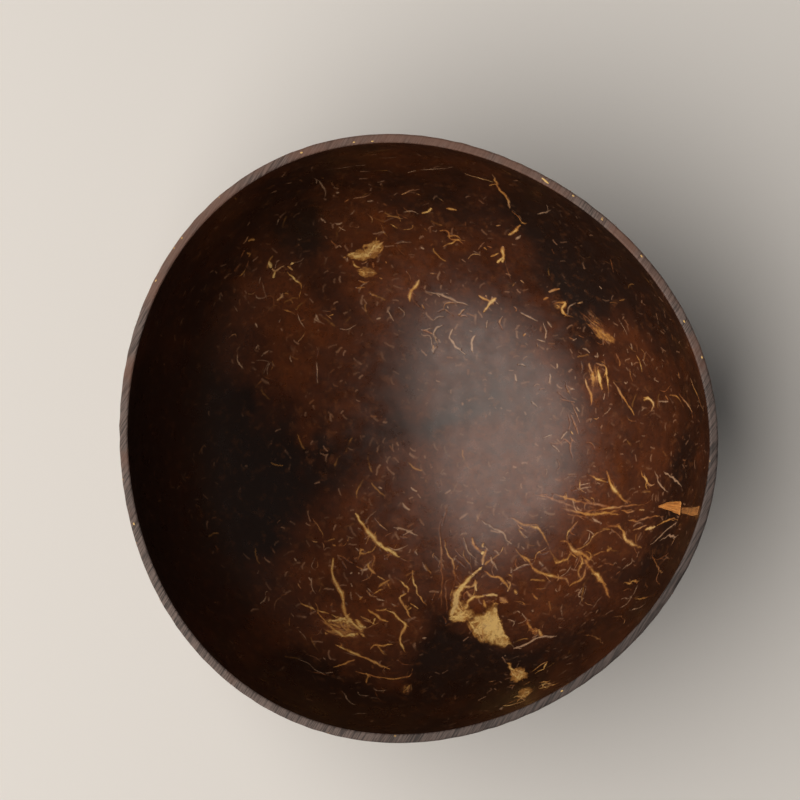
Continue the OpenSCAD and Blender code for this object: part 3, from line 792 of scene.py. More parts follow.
seamSide = {
    "node": "seam_strands", "seed": 200, "tone": 0.0, "width": 1.0, "gain": 1.0, "dust": 0.30,
    "rootlets": (20, (274, 300), (0.35, 0.80)),
    "polar": [
        (.55, .40, .70, [(301.4, .925), (299.5, .925), (297, .93)]),
        (.50, .40, .65, [(288.5, .985), (291, .982), (293, .985)]),
        (.55, .30, .65, [(303.4, .84), (302, .81), (302, .783)]),
        (.40, .50, .45, [(293.6, .55), (294.5, .51), (293.5, .475), (295, .45)]),
    ],
    lowerLeftCrop: [
        (.55, .08, .56, [(682, 180), (672, 230), (676, 277), (679, 338), (678, 383), (684, 430),
            (679, 480), (679, 550)]),
        (.45, .05, .50, [(731, 426), (709, 432), (697, 444), (694, 465), (696, 489), (699, 520),
            (702, 565)]),
        (.45, .05, .42, [(700, 150), (690, 190), (680, 225)]),
        (.50, 2, .52, [(740, 335), (731, 353), (725, 359)]),
        (.60, .45, .70, [(690, 270), (694, 292), (699, 320), (712, 347), (725, 362), (732, 423),
            (752, 453)]),
        (.45, .50, .52, [(731, 429), (728, 459), (716, 489), (716, 514)]),
        (.45, .45, .45, [(752, 376), (742, 382), (735, 398)]),
        (.85, .40, .85, [(842, 380), (845, 350), (857, 312)]),
        (1.6, .85, 1.1, [(716, 585), (724, 556), (737, 529), (737, 501), (752, 471), (767, 453),
            (785, 435), (803, 411)]),
        (.80, .75, .95, [(798, 416), (812, 404), (826, 396), (843, 380)]),
        (.80, .70, .85, [(770, 465), (791, 462), (808, 455), (815, 441), (812, 430)]),
        (.60, .65, .80, [(812, 441), (815, 465), (818, 483)]),
        (.65, .55, .80, [(779, 474), (786, 490), (803, 504)]),
        (1.1, .75, 1.0, [(770, 556), (776, 544), (785, 520), (803, 504), (828, 501), (852, 500)]),
        (.85, .80, .95, [(852, 500), (873, 495), (888, 492), (906, 501)]),
        (1.2, .42, .95, [(904, 500), (922, 514), (934, 524), (948, 527)]),
        (.75, .65, .85, [(843, 508), (850, 532), (858, 550)]),
        (1.0, .75, .70, [(834, 336), (842, 329), (848, 320)]),
        (.80, .22, .85, [(800, 262), (803, 283), (809, 301), (828, 317), (842, 330)]),
        (.75, .60, .62, [(846, 312), (843, 295), (850, 284)]),
        (.60, 2, .50, [(846, 300), (858, 311), (866, 322)]),
        (.50, 2, .52, [(765, 260), (776, 300), (785, 323), (800, 338), (816, 353)]),
        (.75, .40, .85, [(843, 398), (864, 411), (885, 423), (906, 426), (922, 438), (937, 456),
            (946, 471)]),
        (.65, .55, .75, [(934, 432), (943, 441), (952, 452), (946, 471), (940, 486)]),
        (.55, .20, .62, [(952, 448), (964, 452), (979, 459)]),
        (.60, 2, .55, [(873, 335), (879, 362), (906, 398)]),
        (.65, 2, .45, [(882, 317), (897, 323), (912, 338)]),
        (.75, 2, .48, [(949, 383), (957, 392), (955, 410)]),
        (1.0, .65, .60, [(964, 471), (976, 486), (982, 495)]), (.40, .25, .40, [(991, 501), (1012, 517)]),
        (.45, .20, .45, [(961, 520), (997, 523), (1012, 532), (1031, 532)]),
        (.70, 2, .48, [(1064, 359), (1082, 383)]), (.60, 2, .45, [(994, 298), (1012, 317)]),
        (.60, 2, .45, [(937, 280), (961, 295)]), (.70, 2, .48, [(1040, 550), (1043, 565)]),
        (.45, .10, .40, [(679, 574), (694, 592), (697, 614)]),
    ],
    lowerRightCrop: [
        (.70, .10, .65, [(242, 486), (257, 501), (272, 514)]),
        (.75, .30, .85, [(227, 586), (233, 614), (248, 632)]),
        (.40, 2, .40, [(184, 611), (214, 601), (227, 589)]),
        (1.0, .60, .95, [(270, 628), (276, 644), (287, 660)]),
        (.65, 2, .92, [(163, 711), (190, 701), (220, 692), (251, 674), (281, 662), (314, 659), (346, 660)]),
        (.55, .30, .65, [(228, 630), (250, 640), (262, 655)]), (.60, 2, .45, [(136, 729), (139, 740)]),
        (.75, .55, .85, [(142, 761), (156, 766), (157, 779), (168, 790), (184, 796)]),
        (.60, .55, .80, [(256, 807), (272, 796), (292, 787), (297, 771), (308, 754)]),
        (.50, .50, .45, [(67, 840), (86, 837), (108, 830)]), (.50, .50, .42, [(92, 848), (111, 843)]),
        (.45, 2, .38, [(31, 954), (53, 951)]), (.50, .40, .72, [(153, 854), (167, 850), (181, 851)]),
        (.60, .60, .90, [(272, 843), (292, 837), (305, 842), (320, 829)]),
        (.60, .60, .95, [(270, 857), (294, 848), (320, 846), (341, 836)]),
        (.60, .55, .95, [(272, 866), (300, 862), (320, 853), (345, 859), (361, 846)]),
        (.50, .55, .80, [(282, 845), (296, 858), (316, 850), (330, 858)]),
        (.50, .50, .75, [(285, 874), (306, 866), (322, 868)]), (.80, 2, .58, [(122, 938), (125, 954)]),
        (.65, .65, .95, [(131, 932), (156, 933), (178, 926), (206, 918), (231, 915)]),
        (.60, .55, .85, [(165, 905), (190, 895), (215, 912)]),
        (.50, .50, .75, [(208, 854), (222, 846), (242, 834)]),
        (.70, .55, .90, [(172, 795), (186, 815), (200, 832)]),
        (.60, .50, .85, [(214, 790), (205, 815), (192, 835)]),
        (.55, .50, .80, [(180, 925), (205, 900), (236, 884)]), (.45, 2, .36, [(372, 746), (408, 729)]),
        (.45, 2, .32, [(375, 771), (411, 762)]), (.45, 2, .40, [(345, 818), (370, 801), (386, 790)]),
        (.45, 2, .30, [(345, 723), (370, 709)]),
    ],
}
lowerRight = {
    "node": "lower_right_strands", "seed": 300, "tone": -0.04, "width": 1.0, "gain": 0.80, "dust": 0.20,
    "rootlets": (60, (292, 345), (0.40, 0.94)),
    "polar": [
        (.90, .48, .95, [(313, .55), (312.5, .577), (313.3, .619), (312.7, .655), (314, .689),
            (317.2, .753), (316.5, .775)]),
        (.75, .60, .75, [(320, .456), (321.2, .484), (321.5, .509), (323, .536), (324, .563),
            (323.4, .588), (321, .645)]),
        (.55, .60, .60, [(319.2, .509), (318.5, .531), (318.4, .557)]),
        (.60, 2, .62, [(309.4, .393), (311, .429), (312, .456), (313.7, .486), (312.6, .511),
            (312.7, .53)]),
        (1.0, .55, 1.0, [(350.5, .694), (346.8, .721), (345, .747), (343.6, .774), (342.9, .798)]),
        (1.0, .45, 1.0, [(335.1, .756), (336, .775), (336.6, .798), (335.8, .817), (334.4, .84),
            (334.2, .894)]),
        (.60, .60, .68, [(334.4, .762), (332.8, .745), (330.8, .735), (329.3, .737), (326.8, .723),
            (325, .709)]),
        (1.1, .42, 1.0, [(324.6, .745), (324.4, .765), (323.5, .8), (323.2, .83), (322.6, .853),
            (320.8, .902)]),
    ],
    lowerRightCrop: [
        (.65, .50, .80, [(460, 15), (492, 30), (522, 42), (548, 50)]),
        (.55, .45, .60, [(390, 353), (389, 378)]),
        (1.0, .50, 1.0, [(388, 286), (400, 306), (408, 318), (432, 326), (455, 338), (478, 360)]),
        (.60, .62, .66, [(432, 195), (415, 214), (402, 231), (388, 247), (385, 270), (390, 286)]),
        (.80, .50, .80, [(329, 347), (346, 367), (363, 361), (382, 356), (393, 342), (404, 320)]),
        (.70, .45, .75, [(352, 281), (371, 281), (385, 286), (399, 306)]),
        (.55, .30, .72, [(440, 330), (433, 352), (450, 368), (474, 358), (478, 334), (462, 323),
            (449, 326)]),
        (.60, .55, .72, [(471, 358), (488, 342), (513, 328), (541, 320)]),
        (1.1, .75, .72, [(539, 322), (563, 306)]),
        (.85, .45, .88, [(466, 364), (460, 389), (452, 414), (440, 434), (404, 453), (390, 464)]),
        (.80, .50, .85, [(432, 331), (443, 350), (443, 370), (432, 395), (429, 411), (438, 428)]),
        (.70, .70, .70, [(477, 414), (493, 406)]), (.65, .50, .72, [(502, 386), (518, 381), (527, 372)]),
        (.65, .22, .62, [(527, 372), (552, 372), (574, 378)]), (.50, 2, .45, [(280, 420), (290, 402)]),
        (.50, 2, .58, [(599, 395), (624, 378), (641, 367), (641, 350)]),
        (.45, 2, .48, [(640, 345), (652, 366)]),
        (.55, .50, .80, [(604, 456), (612, 444), (632, 450), (643, 439), (671, 442)]),
        (.45, 2, .50, [(666, 447), (654, 478), (643, 497), (635, 506)]),
        (.80, 2, .52, [(632, 500), (640, 508)]), (.45, 2, .52, [(596, 510), (615, 509), (635, 506)]),
        (.70, 2, .46, [(274, 364), (290, 381)]), (.55, .45, .75, [(628, 430), (642, 456)]),
        (.50, .40, .70, [(650, 432), (665, 450)]),
        (.55, .25, .72, [(725, 300), (720, 340), (736, 370), (746, 400), (736, 430), (752, 456)]),
        (.55, .55, .80, [(742, 398), (764, 406)]), (.45, .15, .55, [(720, 352), (760, 350), (806, 350)]),
        (.50, 2, .58, [(590, 550), (620, 530), (642, 506)]),
        (.50, 2, .58, [(628, 556), (660, 550), (692, 534)]),
        (.50, .60, .60, [(640, 508), (670, 510), (700, 504), (736, 496)]),
        (.55, 2, .42, [(277, 195), (288, 183)]), (.50, 2, .38, [(529, 492), (504, 522), (477, 556)]),
        (.55, 2, .45, [(457, 503), (438, 520), (429, 534)]),
        (.50, .45, .52, [(440, 655), (480, 655), (512, 672), (522, 686)]),
        (.45, 2, .35, [(446, 475), (432, 495)]), (.50, 2, .45, [(363, 528), (363, 556), (368, 584)]),
        (.55, 2, .50, [(195, 235), (214, 258), (230, 270)]),
        (.50, .30, .55, [(600, 480), (625, 470), (640, 478)]),
        (.45, .40, .50, [(560, 585), (590, 580), (615, 590)]),
        (.45, .50, .50, [(690, 440), (700, 465), (690, 485)]),
    ],
}
huskSide = {
    "node": "husk_strands", "seed": 400, "tone": 0.0, "width": 1.0, "gain": 1.08, "dust": 0.35,
    "rootlets": (14, (338, 366), (0.45, 0.90)), "polar": [],
    lowerRightCrop: [
        (.60, .12, .50, [(245, 95), (300, 106), (360, 126), (420, 150), (482, 166)]),
        (.70, .20, .64, [(320, 92), (380, 110), (440, 126), (520, 140), (600, 155)]),
        (.85, .25, .70, [(360, 150), (420, 165), (482, 176), (560, 166), (594, 159)]),
        (.60, .30, .60, [(440, 172), (490, 160), (560, 150), (640, 140), (700, 138)]),
        (.60, 2, .58, [(479, 186), (502, 200), (524, 217)]),
        (.55, .15, .50, [(380, 172), (420, 180), (470, 190)]),
        (.55, .25, .55, [(505, 165), (545, 172), (600, 176)]),
        (.55, .35, .66, [(594, 159), (628, 166), (658, 159)]), (.50, .55, .60, [(667, 157), (694, 161)]),
        (.45, .50, .62, [(812, 268), (803, 284), (790, 305)]),
        (.60, .30, .64, [(624, 196), (651, 202), (685, 196), (708, 188), (753, 180)]),
        (.55, .45, .68, [(644, 241), (674, 230), (703, 216)]),
        (.80, .60, .95, [(689, 241), (712, 230), (736, 224)]),
        (.50, .45, .75, [(736, 224), (767, 205), (799, 193), (817, 196), (824, 202)]),
        (.50, 2, .66, [(824, 200), (808, 216), (781, 234), (758, 257), (721, 291)]),
        (.50, 2, .64, [(748, 282), (767, 270), (787, 259), (812, 264), (830, 255)]),
    ],
}
rightSide = {
    "node": "right_strands", "seed": 500, "tone": -0.05, "width": 0.95, "gain": 1.08, "dust": 0.45,
    "rootlets": (55, (-4, 58), (0.45, 0.94)),
    "polar": [
        (.70, .55, .78, [(15.7, .742), (12.3, .755), (9.4, .768), (5.5, .79)]),
        (.55, .35, .65, [(10.2, .84), (8.7, .85), (6.6, .858)]),
        (.50, .40, .65, [(351.6, .82), (349.9, .83), (348.6, .845), (347.7, .848)]),
    ],
    lowerRightCrop: [
        (.60, .55, .80, [(678, 0), (685, 25), (701, 41), (696, 63), (705, 75)]),
        (.45, .40, .65, [(699, 61), (721, 61), (735, 55)]), (.45, 2, .50, [(667, 62), (676, 70)]),
        (.55, 2, .66, [(730, 0), (742, 25), (744, 45), (760, 66), (776, 84)]),
        (.45, 2, .50, [(638, 98), (645, 102)]), (.55, 2, .70, [(764, 4), (787, 21), (815, 41), (840, 68)]),
    ],
    upperRightCrop: [
        (.50, .60, .62, [(465, 565), (486, 584)]), (.45, .45, .50, [(489, 649), (510, 660)]),
        (.45, .40, .50, [(520, 641), (545, 658)]), (.55, 2, .52, [(533, 687), (548, 692), (564, 706)]),
        (.70, 2, .55, [(583, 698), (586, 713), (572, 712)]), (.60, 2, .50, [(603, 706), (610, 715)]),
        (.90, .55, .95, [(558, 735), (562, 757), (573, 767)]), (.60, .25, .55, [(531, 742), (536, 751)]),
        (.70, .50, .82, [(581, 738), (598, 742), (611, 746), (615, 772), (619, 793), (621, 830)]),
        (1.0, .50, .95, [(585, 750), (590, 776), (594, 799), (602, 828)]),
        (.95, .55, .92, [(568, 763), (571, 788), (577, 801)]), (.50, 2, .50, [(611, 835), (604, 858)]),
        (.80, .42, .82, [(545, 784), (550, 810), (560, 830), (567, 843), (564, 879)]),
        (.55, 2, .42, [(512, 776), (511, 792)]), (.45, .50, .50, [(691, 750), (697, 782), (705, 803)]),
        (.50, 2, .50, [(697, 729), (701, 748)]), (.50, 2, .50, [(697, 666), (701, 691)]),
        (.50, 2, .45, [(684, 685), (687, 706)]), (.55, 2, .52, [(620, 586), (627, 594)]),
        (.50, 2, .48, [(664, 600), (669, 608)]),
        (.60, .35, .62, [(645, 698), (653, 719), (661, 736), (657, 749)]),
        (.60, 2, .46, [(484, 835), (499, 822), (514, 822)]),
        (.50, 2, .46, [(670, 795), (680, 805), (686, 793)]),
        (.75, .55, .85, [(735, 848), (760, 856), (771, 872), (764, 897)]),
        (.65, .50, .70, [(756, 846), (737, 862)]), (.60, .35, .70, [(808, 842), (822, 862)]),
        (.60, .40, .80, [(850, 832), (870, 860), (890, 882), (902, 906)]),
        (.60, .40, .75, [(890, 782), (905, 820), (922, 858), (930, 882)]),
        (.50, .40, .60, [(850, 760), (856, 792)]), (.55, .40, .60, [(820, 842), (845, 846), (862, 866)]),
        (.50, 2, .50, [(515, 880), (530, 900)]), (.50, 2, .45, [(770, 790), (790, 800)]),
        (.50, 2, .45, [(735, 720), (745, 745)]),
    ],
}
upperSide = {
    "node": "upper_strands", "seed": 600, "tone": -0.05, "width": 0.95, "gain": 1.16, "dust": 0.45,
    "rootlets": (95, (58, 165), (0.35, 0.94)),
    "polar": [
        (.90, .40, .85, [(73, .973), (72, .956), (70.7, .938), (69, .926), (67.6, .911), (67, .894)]),
        (.50, .55, .70, [(79, .952), (77.5, .948), (74.4, .95), (72.1, .951)]),
        (.40, .35, .60, [(66.7, .893), (64.7, .885), (62.5, .873), (61.6, .88)]),
        (.95, .60, 1.0, [(87, .568), (89, .537), (90.5, .516), (90.8, .48)]),
    ],
    upperRightCrop: [
        (.55, .50, .70, [(225, 152), (256, 146)]),
        (1.0, .60, 1.0, [(274, 348), (271, 364), (276, 380), (273, 408)]),
        (.80, .60, 1.0, [(274, 387), (263, 397), (252, 409)]),
        (.60, .55, .72, [(264, 372), (247, 379), (229, 386)]), (.60, .45, .68, [(207, 351), (224, 364)]),
        (.50, .20, .55, [(219, 350), (241, 355)]), (.65, 2, .62, [(334, 313), (314, 330)]),
        (.85, .52, .92, [(333, 280), (310, 302), (290, 316)]),
        (.80, .52, .86, [(5, 246), (25, 236), (42, 224)]),
        (.80, .52, .82, [(80, 226), (104, 228), (126, 231)]), (.55, 2, .52, [(0, 100), (50, 95), (96, 92)]),
        (.50, .40, .60, [(330, 275), (352, 275)]), (.50, .60, .92, [(388, 142), (395, 136), (402, 130)]),
        (.60, 2, .50, [(385, 246), (410, 240), (432, 230)]),
        (.65, .38, .72, [(60, 300), (92, 300), (102, 326), (155, 332)]),
        (.50, .45, .55, [(250, 285), (268, 280)]), (.55, .35, .62, [(74, 352), (110, 336), (135, 322)]),
        (.55, .30, .62, [(85, 318), (118, 316), (140, 330)]),
        (.70, .62, .78, [(190, 512), (212, 524), (238, 534)]),
        (.95, .60, .85, [(256, 518), (240, 531), (222, 549)]),
        (.60, .55, .72, [(206, 572), (224, 550), (236, 536)]),
        (.50, .50, .58, [(238, 512), (238, 530), (246, 548)]), (.45, .50, .52, [(214, 510), (224, 526)]),
        (.75, .52, .78, [(420, 502), (462, 490)]),
        (.80, .48, .82, [(440, 540), (480, 536), (468, 560), (486, 582)]),
        (.55, .42, .62, [(405, 528), (425, 520)]), (.55, 2, .52, [(500, 662), (520, 655)]),
        (.60, .50, .58, [(515, 540), (540, 535)]),
        (.62, 2, .66, [(110, 620), (99, 639), (98, 653), (110, 670), (121, 685), (133, 691), (142, 690)]),
        (.64, 2, .68, [(187, 639), (175, 654), (170, 668), (172, 683), (173, 703)]),
        (.55, 2, .46, [(78, 607), (62, 615), (49, 627), (45, 639), (50, 651), (62, 658)]),
        (.55, 2, .42, [(40, 595), (56, 587), (72, 584), (84, 584)]), (.65, 2, .58, [(86, 551), (97, 549)]),
        (.65, 2, .46, [(62, 678), (47, 688), (42, 698), (50, 706)]),
        (.55, .25, .50, [(128, 582), (146, 578), (162, 585)]),
        (.60, .30, .55, [(152, 557), (140, 563), (133, 573), (123, 582)]),
        (.55, 2, .48, [(310, 770), (322, 802)]),
        (.60, 2, .55, [(15, 500), (66, 510), (130, 536), (166, 546)]),
        (.50, 2, .50, [(428, 767), (429, 784), (426, 808)]), (.55, 2, .50, [(0, 352), (18, 362)]),
        (.55, .35, .52, [(30, 440), (62, 442)]), (.55, .40, .52, [(280, 440), (302, 446)]),
        (.50, .45, .52, [(330, 460), (345, 475)]), (.50, 2, .48, [(590, 480), (604, 496)]),
        (.60, 2, .54, [(415, 597), (438, 620)]), (.60, 2, .42, [(411, 643), (419, 656)]),
        (.50, 2, .30, [(158, 627), (176, 634)]),
    ],
    upperLeftCrop: [
        (.90, .95, .95, [(457, 398), (463, 414), (468, 425)]), (1.0, .90, .92, [(531, 401), (537, 413)]),
        (.55, .65, .82, [(466, 423), (481, 431), (500, 420), (513, 413)]),
        (.60, .40, .52, [(527, 524), (541, 541)]), (.85, .85, .90, [(480, 433), (476, 446), (474, 459)]),
        (.60, .60, .78, [(518, 414), (528, 423), (539, 432)]),
        (.50, .60, .74, [(515, 432), (542, 458), (563, 477), (567, 496)]),
        (.90, .45, .72, [(413, 331), (400, 328), (387, 334)]),
        (.70, .20, .48, [(392, 312), (384, 330), (372, 348)]),
        (.60, .30, .52, [(379, 362), (372, 376), (366, 389)]),
        (.80, .30, .52, [(383, 371), (395, 378), (388, 389)]),
        (.45, .25, .42, [(392, 395), (388, 412), (384, 428)]),
        (1.5, .12, .36, [(372, 404), (356, 420), (342, 438)]),
        (1.0, .25, .38, [(335, 439), (322, 448), (309, 461)]),
        (.50, 2, .48, [(437, 446), (430, 462), (424, 480)]),
        (.45, 2, .42, [(414, 508), (420, 522), (440, 522), (450, 514)]),
        (.50, .40, .50, [(733, 396), (748, 425)]), (.80, .60, .80, [(506, 501), (498, 518), (483, 534)]),
        (.60, .50, .62, [(741, 487), (762, 487), (782, 486)]),
        (.50, .20, .58, [(761, 411), (774, 407), (787, 396)]),
        (.60, .35, .60, [(789, 504), (804, 512), (819, 518)]),
        (.55, .20, .50, [(500, 560), (530, 566), (548, 580)]), (.65, 2, .50, [(629, 255), (648, 277)]),
        (.55, 2, .42, [(605, 126), (621, 132), (629, 142), (643, 164), (646, 178), (640, 192)]),
        (.70, 2, .55, [(670, 275), (690, 277), (706, 271)]),
        (.50, .10, .62, [(731, 194), (763, 189), (796, 182)]), (.70, .10, .56, [(703, 208), (725, 194)]),
        (.55, .30, .62, [(892, 186), (908, 175), (941, 164)]), (.50, 2, .48, [(914, 110), (947, 99)]),
        (.80, 2, .46, [(676, 175), (695, 173)]), (.60, 2, .44, [(780, 203), (807, 203)]),
        (.45, 2, .42, [(813, 142), (845, 134)]), (.45, 2, .32, [(646, 96), (681, 93), (744, 84)]),
        (.45, 2, .30, [(815, 58), (851, 58), (889, 55)]), (.60, 2, .42, [(815, 307), (848, 303)]),
        (.55, .10, .52, [(676, 348), (681, 356), (690, 345)]),
        (.60, 2, .36, [(720, 249), (733, 241), (742, 227)]), (.45, 2, .45, [(300, 500), (295, 532)]),
        (.55, 2, .45, [(430, 716), (462, 690)]), (.65, 2, .58, [(412, 600), (422, 622)]),
        (.55, 2, .52, [(610, 570), (626, 602)]), (.55, 2, .52, [(850, 560), (872, 602)]),
        (.50, 2, .50, [(810, 592), (832, 586)]), (.50, .50, .52, [(960, 540), (975, 560)]),
        (.55, .30, .52, [(660, 330), (685, 355)]), (.50, .20, .50, [(560, 600), (580, 590)]),
        (.80, .70, .90, [(728, 372), (745, 385), (768, 382)]),
        (.70, .60, .80, [(764, 356), (778, 348), (796, 345)]),
        (.60, .45, .72, [(735, 408), (747, 418), (764, 420)]), (.60, .30, .66, [(690, 345), (700, 356)]),
        (.55, .40, .66, [(700, 388), (716, 384)]), (.65, .55, .76, [(815, 380), (828, 366), (838, 348)]),
        (.55, .35, .66, [(800, 402), (806, 424)]), (.50, .30, .62, [(842, 398), (850, 410)]),
        (.50, .40, .66, [(752, 462), (772, 470), (790, 466)]), (.45, .30, .60, [(820, 452), (836, 462)]),
    ],
}
patches = [  # tone, strength, crop and outline; the first four make the large one
    (.75, 1.0, lowerLeftCrop, [(705, 582), (719, 556), (740, 553), (764, 558), (785, 550), (808, 566),
        (808, 590), (785, 596), (764, 602), (743, 602), (709, 605)]),
    (.78, 1.0, lowerLeftCrop, [(802, 566), (846, 550), (864, 541), (882, 534), (900, 543), (898, 568),
        (908, 589), (921, 604), (927, 629), (936, 650), (948, 668), (948, 694), (919, 703), (897, 693),
        (876, 702), (858, 685), (829, 670), (826, 641), (826, 612), (812, 594)]),
    (.70, .86, lowerLeftCrop, [(714, 566), (722, 522), (744, 506), (768, 522), (792, 550), (772, 568),
        (740, 574)]),
    (.66, .92, lowerLeftCrop, [(778, 590), (838, 580), (858, 612), (860, 660), (845, 690), (818, 668),
        (800, 640), (786, 618)]),
    (.55, 1.0, lowerRightCrop, [(161, 790), (178, 784), (195, 779), (209, 782), (218, 796), (229, 812),
        (228, 822), (211, 829), (195, 833), (186, 844), (166, 837), (161, 818)]),
    (.50, .90, lowerRightCrop, [(195, 868), (215, 862), (245, 862), (240, 884), (222, 905), (197, 902)]),
    (.62, 1.0, upperLeftCrop, [(714, 381), (735, 370), (752, 360), (776, 366), (790, 384), (764, 399),
        (738, 394)]),
    (.60, .98, upperLeftCrop, [(776, 362), (794, 337), (815, 332), (837, 336), (831, 356), (812, 373),
        (786, 380)]),
    (.46, .88, upperLeftCrop, [(752, 376), (775, 357), (806, 356), (826, 366), (818, 386), (794, 392),
        (768, 398)]),
    (.52, .90, upperLeftCrop, [(748, 431), (764, 422), (790, 420), (813, 440), (796, 455), (769, 452)]),
    (.40, .92, upperRightCrop, [(577, 607), (600, 618), (611, 637), (630, 643), (651, 664), (638, 673),
        (625, 660), (609, 658), (583, 645), (579, 626)]),
    (.36, .55, upperRightCrop, [(548, 745), (575, 733), (602, 743), (608, 790), (592, 832), (570, 843),
        (550, 800)]),
    (.30, .45, lowerLeftCrop, [(418, 472), (444, 448), (462, 430), (488, 439), (480, 464), (450, 478)]),
    (.45, .62, lowerLeftCrop, [(516, 868), (529, 848), (558, 848), (559, 876), (540, 895), (520, 888)]),
    (.30, .90, lowerRightCrop, [(246, 630), (262, 624), (272, 640), (266, 656), (250, 652)]),
    (.40, .52, lowerRightCrop, [(382, 294), (400, 282), (414, 318), (440, 330), (470, 344), (484, 358),
        (464, 368), (438, 346), (408, 332)]),
    (.22, .60, lowerLeftCrop, [(195, 615), (233, 586), (290, 575), (343, 602), (380, 640), (368, 666),
        (310, 664), (248, 652)]),
    (.50, .65, upperRightCrop, [(437, 540), (470, 530), (485, 545), (471, 563), (448, 558)]),
    (.25, .50, upperRightCrop, [(520, 560), (556, 556), (600, 600), (640, 660), (620, 680), (575, 640),
        (540, 600)]),
    (.28, .40, lowerLeftCrop, [(340, 368), (372, 330), (412, 340), (424, 372), (408, 410), (372, 396)]),
    (.45, .50, lowerLeftCrop, [(522, 520), (532, 508), (548, 528), (556, 552), (544, 562), (530, 542)]),
]
groups = {
    "lowerLeftStrands": lowerLeft, "seamStrands": seamSide, "lowerRightStrands": lowerRight,
    "huskStrands": huskSide, "rightStrands": rightSide, "upperStrands": upperSide,
}
hair = {
    "seed": 40, "spacing": 5.0 * mm, "many": (0.6, 1.2), "length": (1.3, 4.2), "skew": 1.5, "lean": (8, 28),
    "bend": (0.3, 1.6), "width": (0.20, 0.32), "strength": (0.35, 0.72), "toneStep": -0.1, "shake": 0.4,
}
rootlet = {
    "seed": 90, "length": (1.6, 6.0), "skew": 1.6, "lean": 35, "bend": (-1, 2), "width": (0.28, 0.50),
    "strength": (0.34, 0.70), "tone": (-0.05, 0.60), "dusty": 0.40, "shake": 0.6,
    "perClump": 8, "spread": 0.055, "clumped": 0.6, "poor": 0.7,
}
tuft = {
    "seed": 70, "fewest": 3, "perSquare": 2.2, "reach": (0.2, 1.05), "bow": 0.16, "width": (0.30, 0.62),
    "strength": (0.45, 1.0), "tone": (-0.2, 0.15),
}


def skewed(rng, count, span, skew):  # between two ends, by a power of a random share, so more short than long
    return rng.uniform(0, 1, count) ** skew * np.ptp(span) + span[0]


# three places each: from a spot on the face, off the way ahead by a lean that bends on the second half
def bentRoutes(angle, turn, ahead, lean, length, bend):
    side = np.cross(faceNormal(angle, turn), ahead)
    steps = faceSteps(angle, turn)
    places = [np.stack([np.degrees(angle), np.sin(turn) ** power], -1)]
    for share, turned in ((0.5, lean), (1.0, lean * bend)):
        way = np.cos(turned)[:, None] * ahead + np.sin(turned)[:, None] * side
        turnRound, turnOut = across(way * (length * share * mm)[:, None], *steps)
        shareOut = np.sin(np.clip(turn + turnOut, *strandForm["turns"])) ** power
        places.append(np.stack([np.degrees(angle + turnRound), shareOut], -1))
    return np.stack(places, 1)


# short loose fibres strewn in clumps and singly, fewer where the richness field, which also carries painted
# shade, is low
def rootletsOf(count, angles, shares, seed):
    r = rootlet
    rng = np.random.default_rng(r["seed"] + seed)
    clumps = rng.uniform(0, 1, (count // r["perClump"] + 1, 2))
    spot = clumps[rng.integers(0, len(clumps), count)] + rng.normal(0, r["spread"], (count, 2))
    inClump = rng.uniform(0, 1, (count, 1)) < r["clumped"]
    spot = np.clip(np.where(inClump, spot, rng.uniform(0, 1, (count, 2))), 0, 1)
    angle = np.radians(angles[0] + spot[:, 0] * np.ptp(angles))
    turn = turnOf(np.sqrt(shares[0] ** 2 + spot[:, 1] * np.ptp(np.square(shares))))
    kept = rng.uniform(0, r["poor"], count) < richnessAndShade(plainFace(angle, turn))
    around, out = (unit(step) for step in faceSteps(angle, turn))
    heading = rng.uniform(0, 2 * np.pi, (count, 1))
    ahead = np.cos(heading) * around + np.sin(heading) * out
    lean = np.radians(rng.uniform(-1, 1, count) * r["lean"])
    length = skewed(rng, count, r["length"], r["skew"])
    routes = bentRoutes(angle, turn, ahead, lean, length, rng.uniform(*r["bend"], count))
    width, strength = rng.uniform(*r["width"], count), rng.uniform(*r["strength"], count)
    isDusty = rng.uniform(0, 1, count) < r["dusty"]
    tone = np.where(isDusty, dustyTone, rng.uniform(*r["tone"], count))
    return [makeStroke(width[i], tone[i], strength[i], routes[i], seed + 50 + i, r["shake"])
            for i in np.flatnonzero(kept)]


# thin side branches: bent routes that leave the line at a lean, one for each spacing
def hairsOf(stroke, seed):
    h = hair
    rng = np.random.default_rng(h["seed"] + seed)
    count = int(stroke["long"] / h["spacing"] * rng.uniform(*h["many"]))
    if count == 0:
        return []
    k = rng.integers(1, len(stroke["angle"]) - 1, count)
    ahead = unit(np.gradient(stroke["line"], axis=0)[k])
    lean = np.radians(rng.uniform(*h["lean"], count)) * rng.choice([-1, 1], count)
    length = skewed(rng, count, h["length"], h["skew"])
    bend = rng.uniform(*h["bend"], count)
    routes = bentRoutes(stroke["angle"][k], stroke["turn"][k], ahead, lean, length, bend)
    width, strength = rng.uniform(*h["width"], count), rng.uniform(*h["strength"], count)
    tone = stroke["kind"] + h["toneStep"]
    return [makeStroke(width[i], tone, strength[i], routes[i], seed + i, h["shake"]) for i in range(count)]


